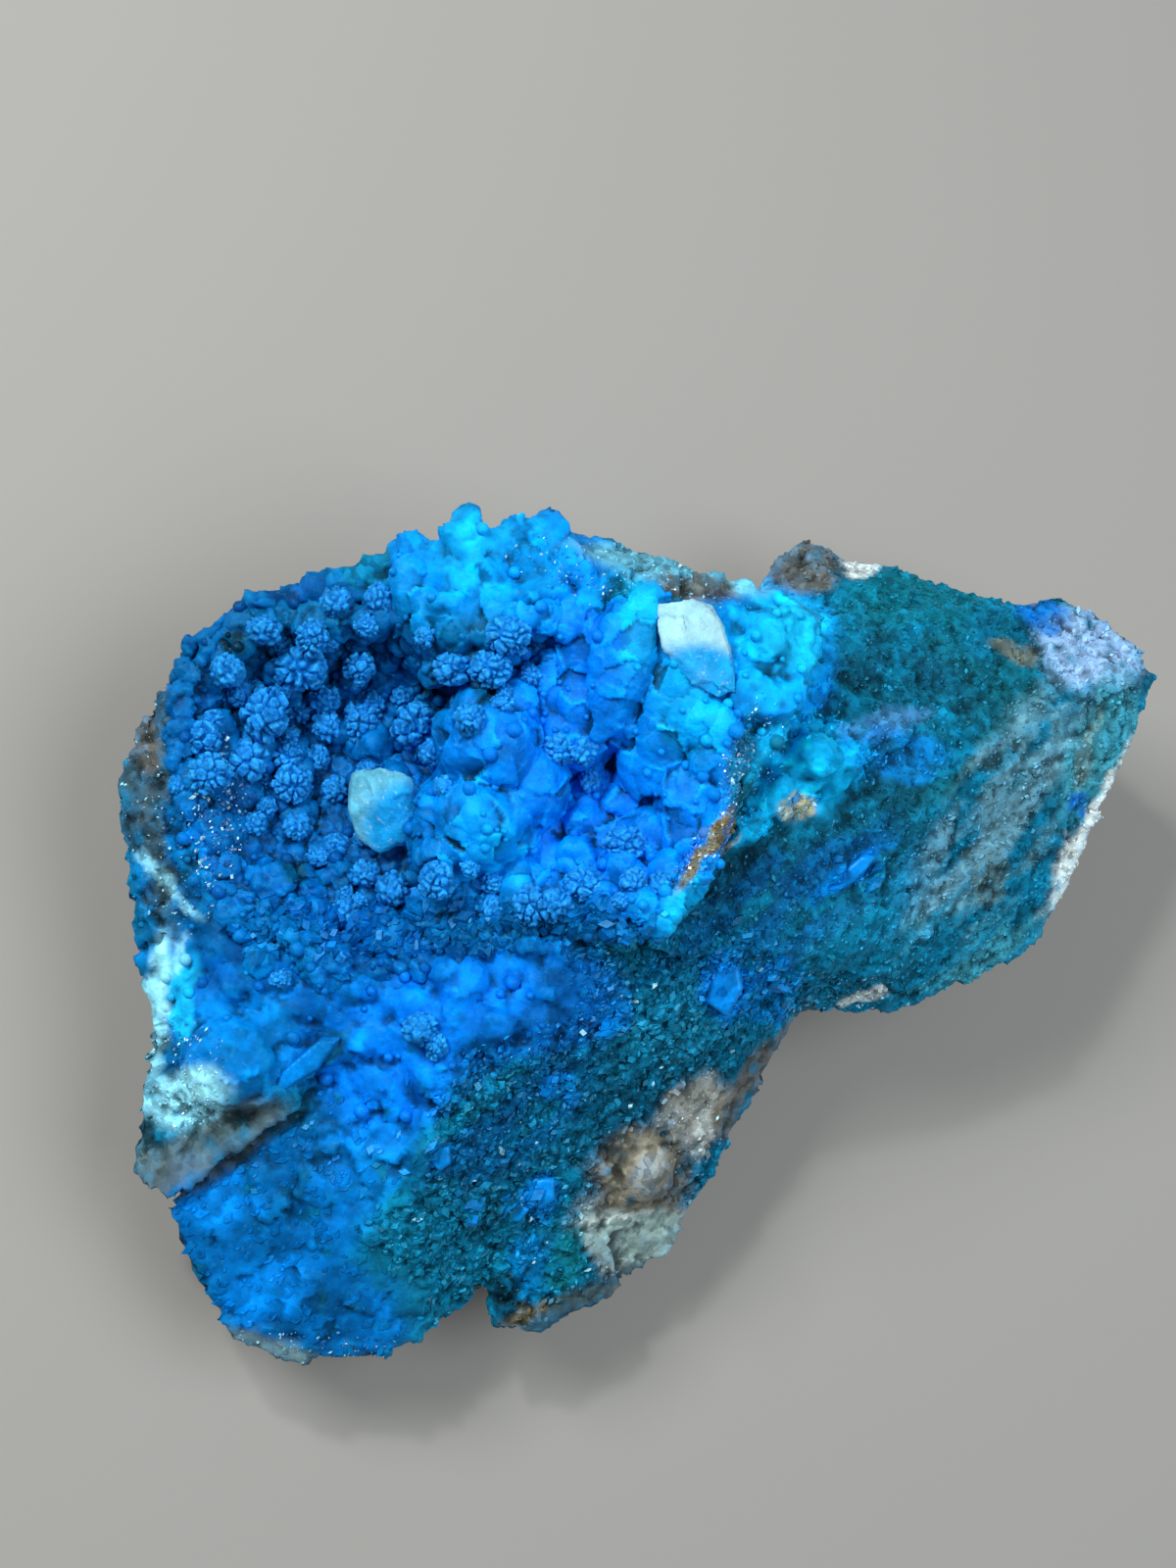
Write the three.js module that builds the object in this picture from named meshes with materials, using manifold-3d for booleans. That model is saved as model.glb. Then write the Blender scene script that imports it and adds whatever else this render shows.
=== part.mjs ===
// A hand specimen of blue gibbsite: host rock broken on every side, a hollow in its near end lined with
// botryoidal crystals, and a long drusy side that falls away from the hollow.
// Millimetres, +Z up. The specimen lies on a flat break, and the origin is the middle of that break.
import * as THREE from "three";
import { ConvexGeometry } from "three/addons/geometries/ConvexGeometry.js";
import { mergeVertices } from "three/addons/utils/BufferGeometryUtils.js";
import Module from "manifold-3d";

const wasm = await Module();
wasm.setup();

// The direction that the specimen is seen and described from
const VIEW_TILT_RIGHT = THREE.MathUtils.degToRad(18);
const VIEW_TILT_UP = THREE.MathUtils.degToRad(8);
const VIEW_DISTANCE = 230;
const VIEW_TARGET = new THREE.Vector3(-13, 6, 38);

const WEAR_COARSE = 1.0; // how far the broken faces wander from flat
const WEAR_COARSE_SPAN = 9; // and over what distance
const WEAR_FINE = 0.45;
const WEAR_FINE_SPAN = 3.6;
const LONGEST_EDGE = 16; // of the broken faces' triangles
const BASE_SINK = 2; // the blocks reach this far under the base before it is cut flat
const CRUST_GAP = 0.35; // between the hollow's wall and the crust that lines it
const LINING_SIDE = 1.2; // the crust's own thickness on the hollow's sides
const LINING_FLOOR = 2.6; // and on its floor

// How finely round shapes are faceted: each edge of a 20-sided ball is split this many times
const LOBE_SPLITS = 2;
const BALL_SPLITS = 1;
const ROSETTE_SPLITS = 0;

// How deep a lump's middle lies under the surface that it grows on, as a share of its radius
const BALL_SINK = 0.25;
const ROSETTE_SINK = 0.1;

const viewRight = new THREE.Vector3(Math.cos(VIEW_TILT_RIGHT), 0, Math.sin(VIEW_TILT_RIGHT));
const viewBack = new THREE.Vector3(
  -Math.sin(VIEW_TILT_RIGHT) * Math.cos(VIEW_TILT_UP),
  -Math.sin(VIEW_TILT_UP),
  Math.cos(VIEW_TILT_RIGHT) * Math.cos(VIEW_TILT_UP),
);
const viewUp = new THREE.Vector3().crossVectors(viewBack, viewRight);
const eye = VIEW_TARGET.clone().addScaledVector(viewBack, VIEW_DISTANCE);

// The far point of the sight line that passes `right` and `up` millimetres from the target
function sightLine(right, up) {
  return VIEW_TARGET.clone()
    .addScaledVector(viewRight, right)
    .addScaledVector(viewUp, up)
    .sub(eye)
    .normalize();
}

// The point that shows at (right, up) and stands `height` above the base
function seen([right, up, height]) {
  const line = sightLine(right, up);
  return eye.clone().addScaledVector(line, (height - eye.z) / line.z);
}

// A repeatable stream of numbers from 0 to 1
function randomStream(seed) {
  let state = seed;
  return () => {
    state = (state + 0x6d2b79f5) | 0;
    let t = Math.imul(state ^ (state >>> 15), 1 | state);
    t = (t + Math.imul(t ^ (t >>> 7), 61 | t)) ^ t;
    return ((t ^ (t >>> 14)) >>> 0) / 4294967296;
  };
}

// Smooth noise from -1 to 1 on a lattice one unit apart
function latticeValue(x, y, z, channel) {
  const s = Math.sin(x * 127.1 + y * 311.7 + z * 74.7 + channel * 53.3) * 43758.5453;
  return (s - Math.floor(s)) * 2 - 1;
}
function smoothNoise(x, y, z, channel) {
  const cell = [x, y, z].map(Math.floor);
  const ease = [x, y, z].map((v, i) => {
    const t = v - cell[i];
    return t * t * (3 - 2 * t);
  });
  let sum = 0;
  for (let corner = 0; corner < 8; corner++) {
    const step = [corner & 1, (corner >> 1) & 1, (corner >> 2) & 1];
    const weight = step.reduce((w, s, i) => w * (s ? ease[i] : 1 - ease[i]), 1);
    sum += weight * latticeValue(cell[0] + step[0], cell[1] + step[1], cell[2] + step[2], channel);
  }
  return sum;
}

// Moves a point as the break surfaces wander, by the same field everywhere, so that blocks stay fitted
function wear(point) {
  const moved = point.clone();
  ["x", "y", "z"].forEach((axis, channel) => {
    const at = (span) => smoothNoise(point.x / span, point.y / span, point.z / span, channel);
    moved[axis] += WEAR_COARSE * at(WEAR_COARSE_SPAN) + WEAR_FINE * at(WEAR_FINE_SPAN);
  });
  return moved;
}

function toSolid(geometry) {
  const bare = geometry.clone();
  bare.deleteAttribute("normal");
  bare.deleteAttribute("uv");
  const merged = mergeVertices(bare, 1e-4);
  return new wasm.Manifold(
    new wasm.Mesh({
      numProp: 3,
      vertProperties: new Float32Array(merged.attributes.position.array),
      triVerts: new Uint32Array(merged.index.array),
    }),
  );
}

function toGeometry(solid) {
  const mesh = solid.getMesh();
  const positions = new Float32Array(mesh.numVert * 3);
  for (let i = 0; i < mesh.numVert; i++) {
    positions.set(mesh.vertProperties.subarray(i * mesh.numProp, i * mesh.numProp + 3), i * 3);
  }
  return new THREE.BufferGeometry()
    .setAttribute("position", new THREE.BufferAttribute(positions, 3))
    .setIndex(new THREE.BufferAttribute(mesh.triVerts, 1));
}

// Splits every edge longer than `longest` at its middle, on both of its triangles, until none is left
function refine(geometry, longest) {
  const merged = mergeVertices(geometry, 1e-4);
  const points = [];
  for (let i = 0; i < merged.attributes.position.count; i++) {
    points.push(new THREE.Vector3().fromBufferAttribute(merged.attributes.position, i));
  }
  let faces = [];
  for (let i = 0; i < merged.index.count; i += 3) faces.push([0, 1, 2].map((k) => merged.index.getX(i + k)));
  let split = true;
  while (split) {
    const middles = new Map();
    const middleOf = (a, b) => {
      if (points[a].distanceTo(points[b]) <= longest) return -1;
      const key = Math.min(a, b) + "_" + Math.max(a, b);
      if (!middles.has(key)) middles.set(key, points.push(points[a].clone().lerp(points[b], 0.5)) - 1);
      return middles.get(key);
    };
    const next = [];
    for (const face of faces) {
      const cut = face.map((a, k) => middleOf(a, face[(k + 1) % 3]));
      const first = cut.findIndex((c, k) => c >= 0 && cut[(k + 2) % 3] < 0);
      const turn = first < 0 ? 0 : first;
      const [a, b, c] = [0, 1, 2].map((k) => face[(k + turn) % 3]);
      const [ab, bc, ca] = [0, 1, 2].map((k) => cut[(k + turn) % 3]);
      if (ab < 0) next.push([a, b, c]);
      else if (bc < 0) next.push([a, ab, c], [ab, b, c]);
      else if (ca < 0) next.push([ab, b, bc], [a, ab, bc], [a, bc, c]);
      else next.push([a, ab, ca], [ab, b, bc], [ca, bc, c], [ab, bc, ca]);
    }
    split = middles.size > 0;
    faces = next;
  }
  return new THREE.BufferGeometry()
    .setAttribute("position", new THREE.Float32BufferAttribute(points.flatMap((p) => p.toArray()), 3))
    .setIndex(faces.flat());
}

// One broken block of rock: the hull of its corners, with its faces worn
function block(corners) {
  const hull = new ConvexGeometry(corners.map(seen));
  hull.deleteAttribute("normal");
  const fine = refine(hull, LONGEST_EDGE);
  const position = fine.attributes.position;
  for (let i = 0; i < position.count; i++) {
    const p = new THREE.Vector3().fromBufferAttribute(position, i);
    position.setXYZ(i, ...wear(p).toArray());
  }
  return toSolid(fine);
}

// Corners are [right, up, height]
const BLOCKS = {
  // Floor of the specimen under the hollow and the blue sheet
  underWest: [
    [-44, -2, 13], [-38, 11, 14], [-26, 18, 16], [-8, 20, 18], [8, 14, 20], [14, -4, 18], [13, -26, 14],
    [9, -42, 9], [-4, -51, 8], [-22, -54, 8], [-36, -48, 9], [-42, -36, 10], [-43, -20, 11],
    [-30, -2, -BASE_SINK], [-18, 10, -BASE_SINK], [2, 8, -BASE_SINK], [8, -10, -BASE_SINK],
    [2, -34, -BASE_SINK], [-18, -42, -BASE_SINK], [-30, -30, -BASE_SINK],
  ],
  // Floor under the drusy side
  underEast: [
    [-4, 14, 18], [16, 17, 17], [38, 16, 14], [50, 10, 15], [50, -2, 13], [42, -15, 12], [28, -20, 10],
    [10, -26, 10], [-8, -22, 16],
    [-2, 6, -BASE_SINK], [18, 8, -BASE_SINK], [36, 5, -BASE_SINK], [38, -4, -BASE_SINK],
    [24, -12, -BASE_SINK], [4, -20, -BASE_SINK],
  ],
  // The hollow's west and north wall, before the hollow is cut
  westWall: [
    [-49, 0, 21], [-45.6, 7, 22.5], [-41.6, 15, 24.5], [-36.2, 18.6, 26], [-29.4, 21.2, 28],
    [-20.5, 23.2, 30.5],
    [-8, 24, 36], [-46.5, -13, 18], [-44.5, -26, 17.5], [-43, -32, 17], [-25, -20, 25], [-10, -26, 29],
    [2, -18, 32], [2, 12, 36], [-42, -4, 12], [-36, 10, 14], [-10, 18, 18], [-20, -28, 18],
  ],
  // The knob of botryoids on the north rim
  northKnob: [
    [-19, 23, 30], [-14.5, 26.5, 33], [-4, 26.5, 37], [-0.5, 24, 38.5], [0, 17, 38], [-8, 14, 37],
    [-18, 16, 32], [-16, 21, 20], [-4, 21, 24],
  ],
  // The thick crust east of the hollow, which stands over the drusy side
  eastWall: [
    [-4, 26.5, 36], [4, 22.5, 40], [10, 21.5, 39.5], [17, 20, 39], [24.5, 17.5, 39], [23.5, 12, 41],
    [20, 6, 41.5], [14, -5, 41.5], [9.5, -12, 39], [4, -16.5, 35.5], [-6, -14, 31], [-8, 6, 32],
    [23, 16, 27], [17, 2, 25], [12, -8, 26], [4, -16, 26], [0, 20, 24],
  ],
  // The long drusy side
  drusySide: [
    [18, 17, 29], [26, 15, 29.5], [43, 18, 26.5], [48.5, 19.5, 26], [56, 14.5, 28], [58, 11, 29.5],
    [56.5, 6, 29], [53, 0, 27.5], [50, -5, 26.5], [47.5, -11, 25.5], [46, -17, 23.5], [42, -19.5, 22.5],
    [30, -22.5, 20], [22, -24.5, 19.5], [14, -8, 34], [6, -16, 34], [8, 10, 32], [52, 9, 15],
    [48, -3, 13], [42, -15, 12], [26, -20, 10], [20, 12, 16],
  ],
  // Where that side runs down to the south edge
  drusyFoot: [
    [-13, -23, 27.5], [-8, -26, 28], [-4, -16, 30.5], [2, -13, 33], [10, -11, 34.5], [22, -24, 20.5], [19, -28, 18], [15.5, -31, 16.5],
    [13.5, -36, 15], [11.5, -40.5, 13.5], [10, -45, 12.5], [8, -48, 12], [3.5, -51, 12], [-1, -53.5, 12],
    [-22, -50, 18.5], [-16, -38, 25], [8, -40, 7], [-4, -49, 6], [-14, -44, 8], [16, -26, 8],
  ],
  // The blue sheet at the south-west
  blueSheet: [
    [-8, -26, 29], [-15, -36, 25.5], [-22, -50, 18.5], [-11, -53, 14], [-19, -57, 14.5], [-21, -59, 14],
    [-30.5, -59.3, 12.5], [-36, -57.2, 12.5], [-37.8, -53, 13], [-40, -49, 13.5], [-42.8, -46.5, 14],
    [-43.5, -43, 14.5], [-30, -31.5, 20.5], [-22, -24, 24], [-34, -50, 6], [-20, -52, 6], [-36, -38, 8],
  ],
  // The bare wedge of rock over the blue sheet's upper edge
  bareWedge: [
    [-47, -40, 14.5], [-47, -37.5, 15.5], [-45.5, -34.5, 16.5], [-44, -30, 18], [-44.5, -24, 19],
    [-30, -30.8, 23.5], [-29, -33, 23], [-43, -43, 16.5], [-34, -26, 22], [-40, -36, 8], [-30, -26, 12],
  ],
  // The knob on the south edge, beside its small pit
  southKnob: [
    [-11, -53.2, 14], [-9, -55.3, 13.5], [-5.5, -56.2, 13.5], [-1, -54.3, 13.5], [4, -51.6, 13.5],
    [2, -46, 17], [-6, -46, 18.5], [-9, -49, 16.5], [-7, -52, 6], [2, -47, 6],
  ],
  // The far ledge in the north-east
  farLedge: [
    [17.5, 20.5, 17], [19, 23, 17.5], [22, 24.8, 18], [26, 24.3, 19], [30, 22.8, 20], [38, 20.8, 21],
    [43, 18.5, 21.5], [44, 15, 27], [30, 15.5, 26], [20, 16, 22], [20, 14, 8], [38, 14, 9],
  ],
  // The pale corner at the far east
  eastCorner: [
    [44, 17, 27.5], [46.5, 19.5, 28], [48.5, 20.2, 28], [50.5, 17.5, 29], [56.5, 14.8, 30.5],
    [57.6, 11, 30.5], [52, 8, 31.5], [47, 12, 30], [48, 12, 20], [54, 8, 20],
  ],
};

// The half space under z = 0, as far as the specimen needs
function underTable() {
  const slab = new THREE.BoxGeometry(300, 300, 60);
  slab.translate(0, 0, -30);
  return toSolid(slab);
}

// An ellipsoid about a point; `reach` is its half sizes along the view's right, up and back
function ellipsoidShape(centre, reach, splits, turn = new THREE.Quaternion()) {
  const ball = new THREE.IcosahedronGeometry(1, splits);
  const basis = new THREE.Matrix4().makeBasis(viewRight, viewUp, viewBack).setPosition(centre);
  return ball.applyQuaternion(turn).scale(...reach).applyMatrix4(basis);
}
function ellipsoid(...shape) {
  return toSolid(ellipsoidShape(...shape));
}

// The hollow is the hull of these lobes: middle [right, up, height], and half sizes
const HOLLOW_LOBES = [
  { at: [-29.5, 6, 33], reach: [15.7, 14.2, 18] },
  { at: [-24, -9, 30], reach: [16, 12, 10] },
  { at: [-9, 8, 38], reach: [12, 11.5, 16] },
  { at: [4, 1, 42], reach: [13, 17, 14] },
];
// Mounds of the crust inside the hollow, in the same terms
const MOUNDS = [
  { at: [-9, 3, 23], reach: [7, 7.5, 12] },
  { at: [-12.5, -4.5, 21], reach: [7, 7, 12.5] },
  { at: [-1, 8, 25], reach: [7.5, 9, 12] },
  { at: [8, 12.5, 29], reach: [9, 10, 11] },
  { at: [-13, 18.5, 28], reach: [8.5, 8.5, 10] },
  { at: [-13, -15, 19], reach: [12, 6.5, 11] },
  { at: [-31, -14.5, 16], reach: [9, 6, 10] },
];

function hollowHull(grow, lift = 0) {
  const points = HOLLOW_LOBES.flatMap(({ at, reach }) => {
    const centre = seen(at).addScaledVector(viewBack, lift);
    const { position } = ellipsoidShape(centre, reach.map((r) => r + grow), LOBE_SPLITS).attributes;
    return Array.from({ length: position.count }, (_, i) => new THREE.Vector3().fromBufferAttribute(position, i));
  });
  return toSolid(new ConvexGeometry(points));
}

// Smooth botryoids: [right, up, radius, how many times taller than wide]
const BALLS = {
  northKnob: [
    [-18.2, 23.2, 2.3, 1.5], [-13.8, 17.8, 2.6], [-12.2, 24.6, 2.8], [-12.4, 27, 1.8], [-7.8, 25.6, 2],
    [-4, 26, 2.5], [-6.2, 22.8, 2.3], [-1.2, 22.4, 2.2], [-17, 19.6, 1.6, 2],
  ],
  blueMass: [[-10, 4.2, 5.2], [-11, -3.6, 5], [-6, 0.2, 3.6], [-4, 10.4, 2, 1.7], [-14.6, -7, 2.6]],
  eastLobe: [
    [0, 17, 2.6, 1.8], [3.8, 13.6, 3.6, 1.4], [3, 7.6, 3.6], [8, 9.2, 3.8], [8, 3.6, 3.8], [10.2, -1, 3.2],
    [6, -5.6, 3], [11.4, 14.6, 3.4], [17.6, 14.2, 3.4], [16.6, 8.8, 3.2], [3.6, -9.4, 2.6],
  ],
  westFloor: [
    [-39.9, 0.5, 1.9], [-33.4, -10.6, 2.6], [-30, -15.4, 2], [-26.3, -18.6, 2.8], [-32.2, -24.6, 2.2],
    [-21.9, 3.7, 2.4], [-36, -27, 3.6], [-20.6, -16, 2.8], [-13.4, -20, 3], [-14.6, -29.6, 3.4],
  ],
  drusySide: [[22.4, 2.6, 3.2], [18.6, -0.4, 2.4], [26, 1.6, 2.4]],
};

// Crinkled rosettes: [right, up, radius]
const ROSETTES = {
  northWest: [
    [-29.9, 11.8, 2.9], [-28.4, 15.2, 1.8], [-23.6, 11.8, 1.9], [-33.4, 7.2, 2.7], [-34.7, 3.3, 2.4],
    [-38.7, 5.1, 2], [-26.7, 8.9, 1.8], [-26, 6, 1.8], [-30.3, 2.8, 2], [-29.9, 0.1, 2.2], [-29.7, -3.4, 1.8],
    [-33.2, 18.2, 1.8],
  ],
  north: [[-8.8, 14.9, 2.2], [-11, 12.2, 2.4], [-14.6, 12, 2], [-17.2, 6, 2], [-6, 18.8, 2]],
  middle: [
    [-3.2, 2.6, 1.8], [-0.4, -3.7, 1.8], [3.4, -1.8, 1.7], [-0.4, -7.8, 2.2], [-7.3, -11, 2.2],
    [-12.6, -10.6, 1.8], [-5.6, -16, 2],
  ],
  south: [[-18.6, -24.8, 1.9], [-36, -20.2, 1.6], [-25.2, -9.6, 2]],
};

// Flat crystals that stand out of the druse: [right, up, width, length], their long way up and to the right
const CRYSTALS = [
  [-11.6, -43.4, 2.6, 4.4], [-8.4, -43, 2.2, 3.6], [-5.8, -42, 2.2, 3.4], [21, -1.4, 1.6, 2.6],
  [29, -10, 2, 5], [25.5, -9, 1.6, 3.4], [13.8, -20.4, 2.4, 5.4], [19.4, -22, 2.4, 4.2], [32, 4.4, 2.4, 4.6],
  [2, -25, 1.8, 3.4], [-4, -31, 1.8, 3.2], [9, -31, 1.8, 3], [36, -6, 1.8, 3.8], [43, 2, 1.8, 4.2],
  [24, 10, 1.8, 3.4], [40, 10.4, 1.8, 3.4], [2, -39, 1.8, 3.2], [-16, -37.4, 1.8, 3.4], [34, -15, 1.8, 3.6],
  [47, -6, 1.8, 4],
];
const CRYSTAL_LEAN = 0.75; // radians from the view's up, toward its right
const CRYSTAL_RISE = 0.9; // how far the crystals stand out, millimetres
const CRYSTAL_SWAY = 0.3; // how far each crystal strays from that, radians

// The pale block that stands in the hollow: middle, and half sizes along the view's right, up and back
const PALE_BLOCK = { at: [-20.4, -2.3], reach: [3.5, 4.3, 3.6] };

const rockBlocks = wasm.Manifold.union(Object.values(BLOCKS).map(block)).subtract(underTable());
const withinHollow = hollowHull(-CRUST_GAP);
const openSpace = hollowHull(-CRUST_GAP - LINING_SIDE, LINING_FLOOR - LINING_SIDE)
  .subtract(wasm.Manifold.union(MOUNDS.map(({ at, reach }) => ellipsoid(seen(at), reach, BALL_SPLITS))));
const lining = withinHollow.subtract(openSpace).intersect(rockBlocks);
const bareRock = rockBlocks.subtract(hollowHull(0));

// Where the sight line through (right, up) meets the rock or the lining
const targets = [bareRock, lining].map((solid) => {
  const mesh = new THREE.Mesh(toGeometry(solid), new THREE.MeshBasicMaterial());
  mesh.updateMatrixWorld();
  return mesh;
});
function meets(right, up) {
  const [hit] = new THREE.Raycaster(eye, sightLine(right, up)).intersectObjects(targets);
  return hit ? { ...hit, onLining: hit.object === targets[1] } : undefined;
}

const onRock = [rockBlocks];
const onLining = [lining];
const pick = randomStream(7);

function growLump(right, up, reach, splits, sink) {
  const met = meets(right, up);
  if (!met) return;
  const centre = met.point.clone().addScaledVector(viewBack, -sink * reach[2]);
  const turn = new THREE.Quaternion(...[0, 1, 2, 3].map(() => pick() - 0.5)).normalize();
  (met.onLining ? onLining : onRock).push(ellipsoid(centre, reach, splits, turn));
}

// A flat six-sided crystal, half sunk in the rock, whose broad face lies nearly along the surface
function growCrystal(right, up, width, length) {
  const met = meets(right, up);
  if (!met || met.onLining) return;
  const plate = new THREE.CylinderGeometry(0.44, 0.5, 1, 6);
  plate.rotateX(Math.PI / 2).scale(width, length, CRYSTAL_RISE * 2);
  const [lean, nod, roll] = [0, 1, 2].map(() => (pick() * 2 - 1) * CRYSTAL_SWAY);
  plate.rotateZ(lean - CRYSTAL_LEAN).rotateX(nod).rotateY(roll);
  const out = met.face.normal;
  const side = new THREE.Vector3().crossVectors(viewUp, out).normalize();
  const along = new THREE.Vector3().crossVectors(out, side);
  plate.applyMatrix4(new THREE.Matrix4().makeBasis(side, along, out).setPosition(met.point));
  onRock.push(toSolid(plate));
}

for (const [right, up, radius, tall = 1] of Object.values(BALLS).flat()) {
  growLump(right, up, [radius, radius * tall, radius], BALL_SPLITS, BALL_SINK);
}
for (const [right, up, radius] of Object.values(ROSETTES).flat()) {
  growLump(right, up, [radius, radius, radius], ROSETTE_SPLITS, ROSETTE_SINK);
}
growLump(...PALE_BLOCK.at, PALE_BLOCK.reach, BALL_SPLITS, BALL_SINK);
for (const crystal of CRYSTALS) growCrystal(...crystal);

const rockSolid = wasm.Manifold.union(onRock).subtract(hollowHull(0)).subtract(underTable());
const crustSolid = wasm.Manifold.union(onLining).intersect(withinHollow);

// Only the largest body: what the cuts leave loose, such as a sliver of a lump, is dropped
function mainBody(solid) {
  return solid.decompose().sort((a, b) => b.volume() - a.volume())[0];
}

function piece(name, solid, color, roughness) {
  const material = new THREE.MeshStandardMaterial({ color, roughness });
  const mesh = new THREE.Mesh(toGeometry(mainBody(solid)), material);
  mesh.name = name;
  return mesh;
}

const specimen = new THREE.Group();
specimen.add(piece("rock", rockSolid, 0x2f7f99, 0.75));
specimen.add(piece("vug_crust", crustSolid, 0x0a6fd6, 0.4));

export default specimen;
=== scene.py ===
import math

import bmesh
import bpy
import numpy as np
from mathutils import Matrix, Vector
from mathutils.bvhtree import BVHTree


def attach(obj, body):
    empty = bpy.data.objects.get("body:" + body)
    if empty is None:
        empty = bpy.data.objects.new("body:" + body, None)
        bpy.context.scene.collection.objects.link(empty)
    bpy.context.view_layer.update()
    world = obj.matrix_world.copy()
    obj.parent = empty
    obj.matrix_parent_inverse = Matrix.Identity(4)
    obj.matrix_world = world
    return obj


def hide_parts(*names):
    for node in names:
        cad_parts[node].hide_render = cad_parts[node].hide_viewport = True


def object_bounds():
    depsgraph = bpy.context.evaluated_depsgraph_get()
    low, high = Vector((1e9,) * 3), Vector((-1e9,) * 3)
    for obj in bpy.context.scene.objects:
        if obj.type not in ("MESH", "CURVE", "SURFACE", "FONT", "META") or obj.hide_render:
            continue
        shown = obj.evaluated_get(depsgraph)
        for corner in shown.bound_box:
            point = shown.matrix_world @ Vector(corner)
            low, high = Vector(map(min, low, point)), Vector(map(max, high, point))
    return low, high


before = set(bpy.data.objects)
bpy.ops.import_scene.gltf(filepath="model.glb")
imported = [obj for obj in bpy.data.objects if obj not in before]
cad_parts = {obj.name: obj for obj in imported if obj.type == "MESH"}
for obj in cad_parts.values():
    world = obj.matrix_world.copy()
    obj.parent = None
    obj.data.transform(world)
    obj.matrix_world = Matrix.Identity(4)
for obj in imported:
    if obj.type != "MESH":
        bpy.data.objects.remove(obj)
cad_low, cad_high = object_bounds()

# A hand specimen of blue gibbsite on its host rock. Lengths are millimetres until MM makes them metres.
MM = 0.001

# The specimen is described from this direction, in millimetres right and up of the view's middle
VIEW_TILT_RIGHT = math.radians(18)
VIEW_TILT_UP = math.radians(8)
VIEW_DISTANCE = 230.0
VIEW_HEIGHT = 160.0
VIEW_TARGET = np.array([-13.0, 6.0, 38.0])
VIEW_RIGHT = np.array([math.cos(VIEW_TILT_RIGHT), 0.0, math.sin(VIEW_TILT_RIGHT)])
VIEW_BACK = np.array([
    -math.sin(VIEW_TILT_RIGHT) * math.cos(VIEW_TILT_UP),
    -math.sin(VIEW_TILT_UP),
    math.cos(VIEW_TILT_RIGHT) * math.cos(VIEW_TILT_UP),
])
VIEW_UP = np.cross(VIEW_BACK, VIEW_RIGHT)
EYE = VIEW_TARGET + VIEW_DISTANCE * VIEW_BACK

# The voxels that the skins are made of, in millimetres, and how many triangles two of them keep
ROCK_VOXEL = 0.5
CRUST_VOXEL = 0.27
BLOCK_VOXEL = 0.22
ROCK_FACES = 185000
CRUST_FACES = 170000
rng = np.random.default_rng(11)


# Noise fields


# Large odd numbers that mix a cell's three whole numbers and the channel into one
MIXERS = [73856093, 19349663, 83492791, 49979693]
STIRRERS = [(13, 1274126177), (15, 668265263)]
LEVELS = 0xFFFF


def lattice(cells, channel):
    """A repeatable number from 0 to 1 for each whole-numbered cell."""
    x, y, z = np.moveaxis(cells, -1, 0)
    n = x * MIXERS[0] ^ y * MIXERS[1] ^ z * MIXERS[2] ^ channel * MIXERS[3]
    for shift, factor in STIRRERS:
        n = (n ^ (n >> shift)) * factor & 0xFFFFFFFF
    return ((n ^ (n >> 16)) & LEVELS) / LEVELS


def noise(points, span, channel=0):
    """Smooth noise from -1 to 1, with bumps about `span` across."""
    scaled = points / span
    base = np.floor(scaled).astype(np.int64)
    t = scaled - base
    t = t * t * (3 - 2 * t)
    total = np.zeros(len(points))
    for corner in range(8):
        step = np.array([corner & 1, corner >> 1 & 1, corner >> 2 & 1])
        weight = np.prod(np.where(step, t, 1 - t), axis=1)
        total += weight * lattice(base + step, channel)
    return total * 2 - 1


def layered(points, span, layers=3, channel=0):
    """Noise with finer and weaker layers on top."""
    parts = [noise(points, span / 2**i, channel + i) / 2**i for i in range(layers)]
    return sum(parts) / (2 - 2.0 ** (1 - layers))


def grains(points, span, channel=0):
    """A packing of grains about `span` across: each point's depth inside its grain, the grain's number, and
    how high the point would be if the grain had one slanting face."""
    scaled = points / span
    base = np.floor(scaled).astype(np.int64)
    nearest = np.full(len(points), 9.0)
    second = np.full(len(points), 9.0)
    own_cell = base.copy()
    own_away = np.zeros_like(scaled)
    for offset in np.ndindex(3, 3, 3):
        cell = base + np.array(offset) - 1
        seed = np.stack([lattice(cell, channel + k) for k in range(3)], axis=1)
        away = scaled - cell - seed
        distance = np.linalg.norm(away, axis=1)
        closer = distance < nearest
        second = np.where(closer, nearest, np.minimum(second, distance))
        own_cell = np.where(closer[:, None], cell, own_cell)
        own_away = np.where(closer[:, None], away, own_away)
        nearest = np.where(closer, distance, nearest)
    way = np.stack([lattice(own_cell, channel + 8 + k) for k in range(3)], axis=1) * 2 - 1
    slant = (own_away * way).sum(axis=1) / np.linalg.norm(way, axis=1) * span
    return second - nearest, lattice(own_cell, channel + 7), slant


def smooth_step(low, high, value):
    t = np.clip((value - low) / (high - low), 0, 1)
    return t * t * (3 - 2 * t)


# Places in the view


def in_view(points):
    """Right and up of each point as the view shows it."""
    away = points - EYE
    scale = VIEW_DISTANCE / -(away @ VIEW_BACK)
    return np.stack([away @ VIEW_RIGHT * scale, away @ VIEW_UP * scale], axis=1)


def zone(spots, right, up, reach_right, reach_up, turn=0.0, soft=0.5):
    """1 inside a leaning ellipse of the view, falling to 0 over `soft` of its reach."""
    c, s = math.cos(math.radians(turn)), math.sin(math.radians(turn))
    x, y = spots[:, 0] - right, spots[:, 1] - up
    distance = np.hypot((x * c + y * s) / reach_right, (y * c - x * s) / reach_up)
    return 1 - smooth_step(1 - soft / 2, 1 + soft / 2, distance)


def cover(spots, zones):
    """1 where any of the ellipses covers a spot, falling to 0 round them."""
    return np.max([zone(spots, *shape) for shape in zones], axis=0)


# Meshes


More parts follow.
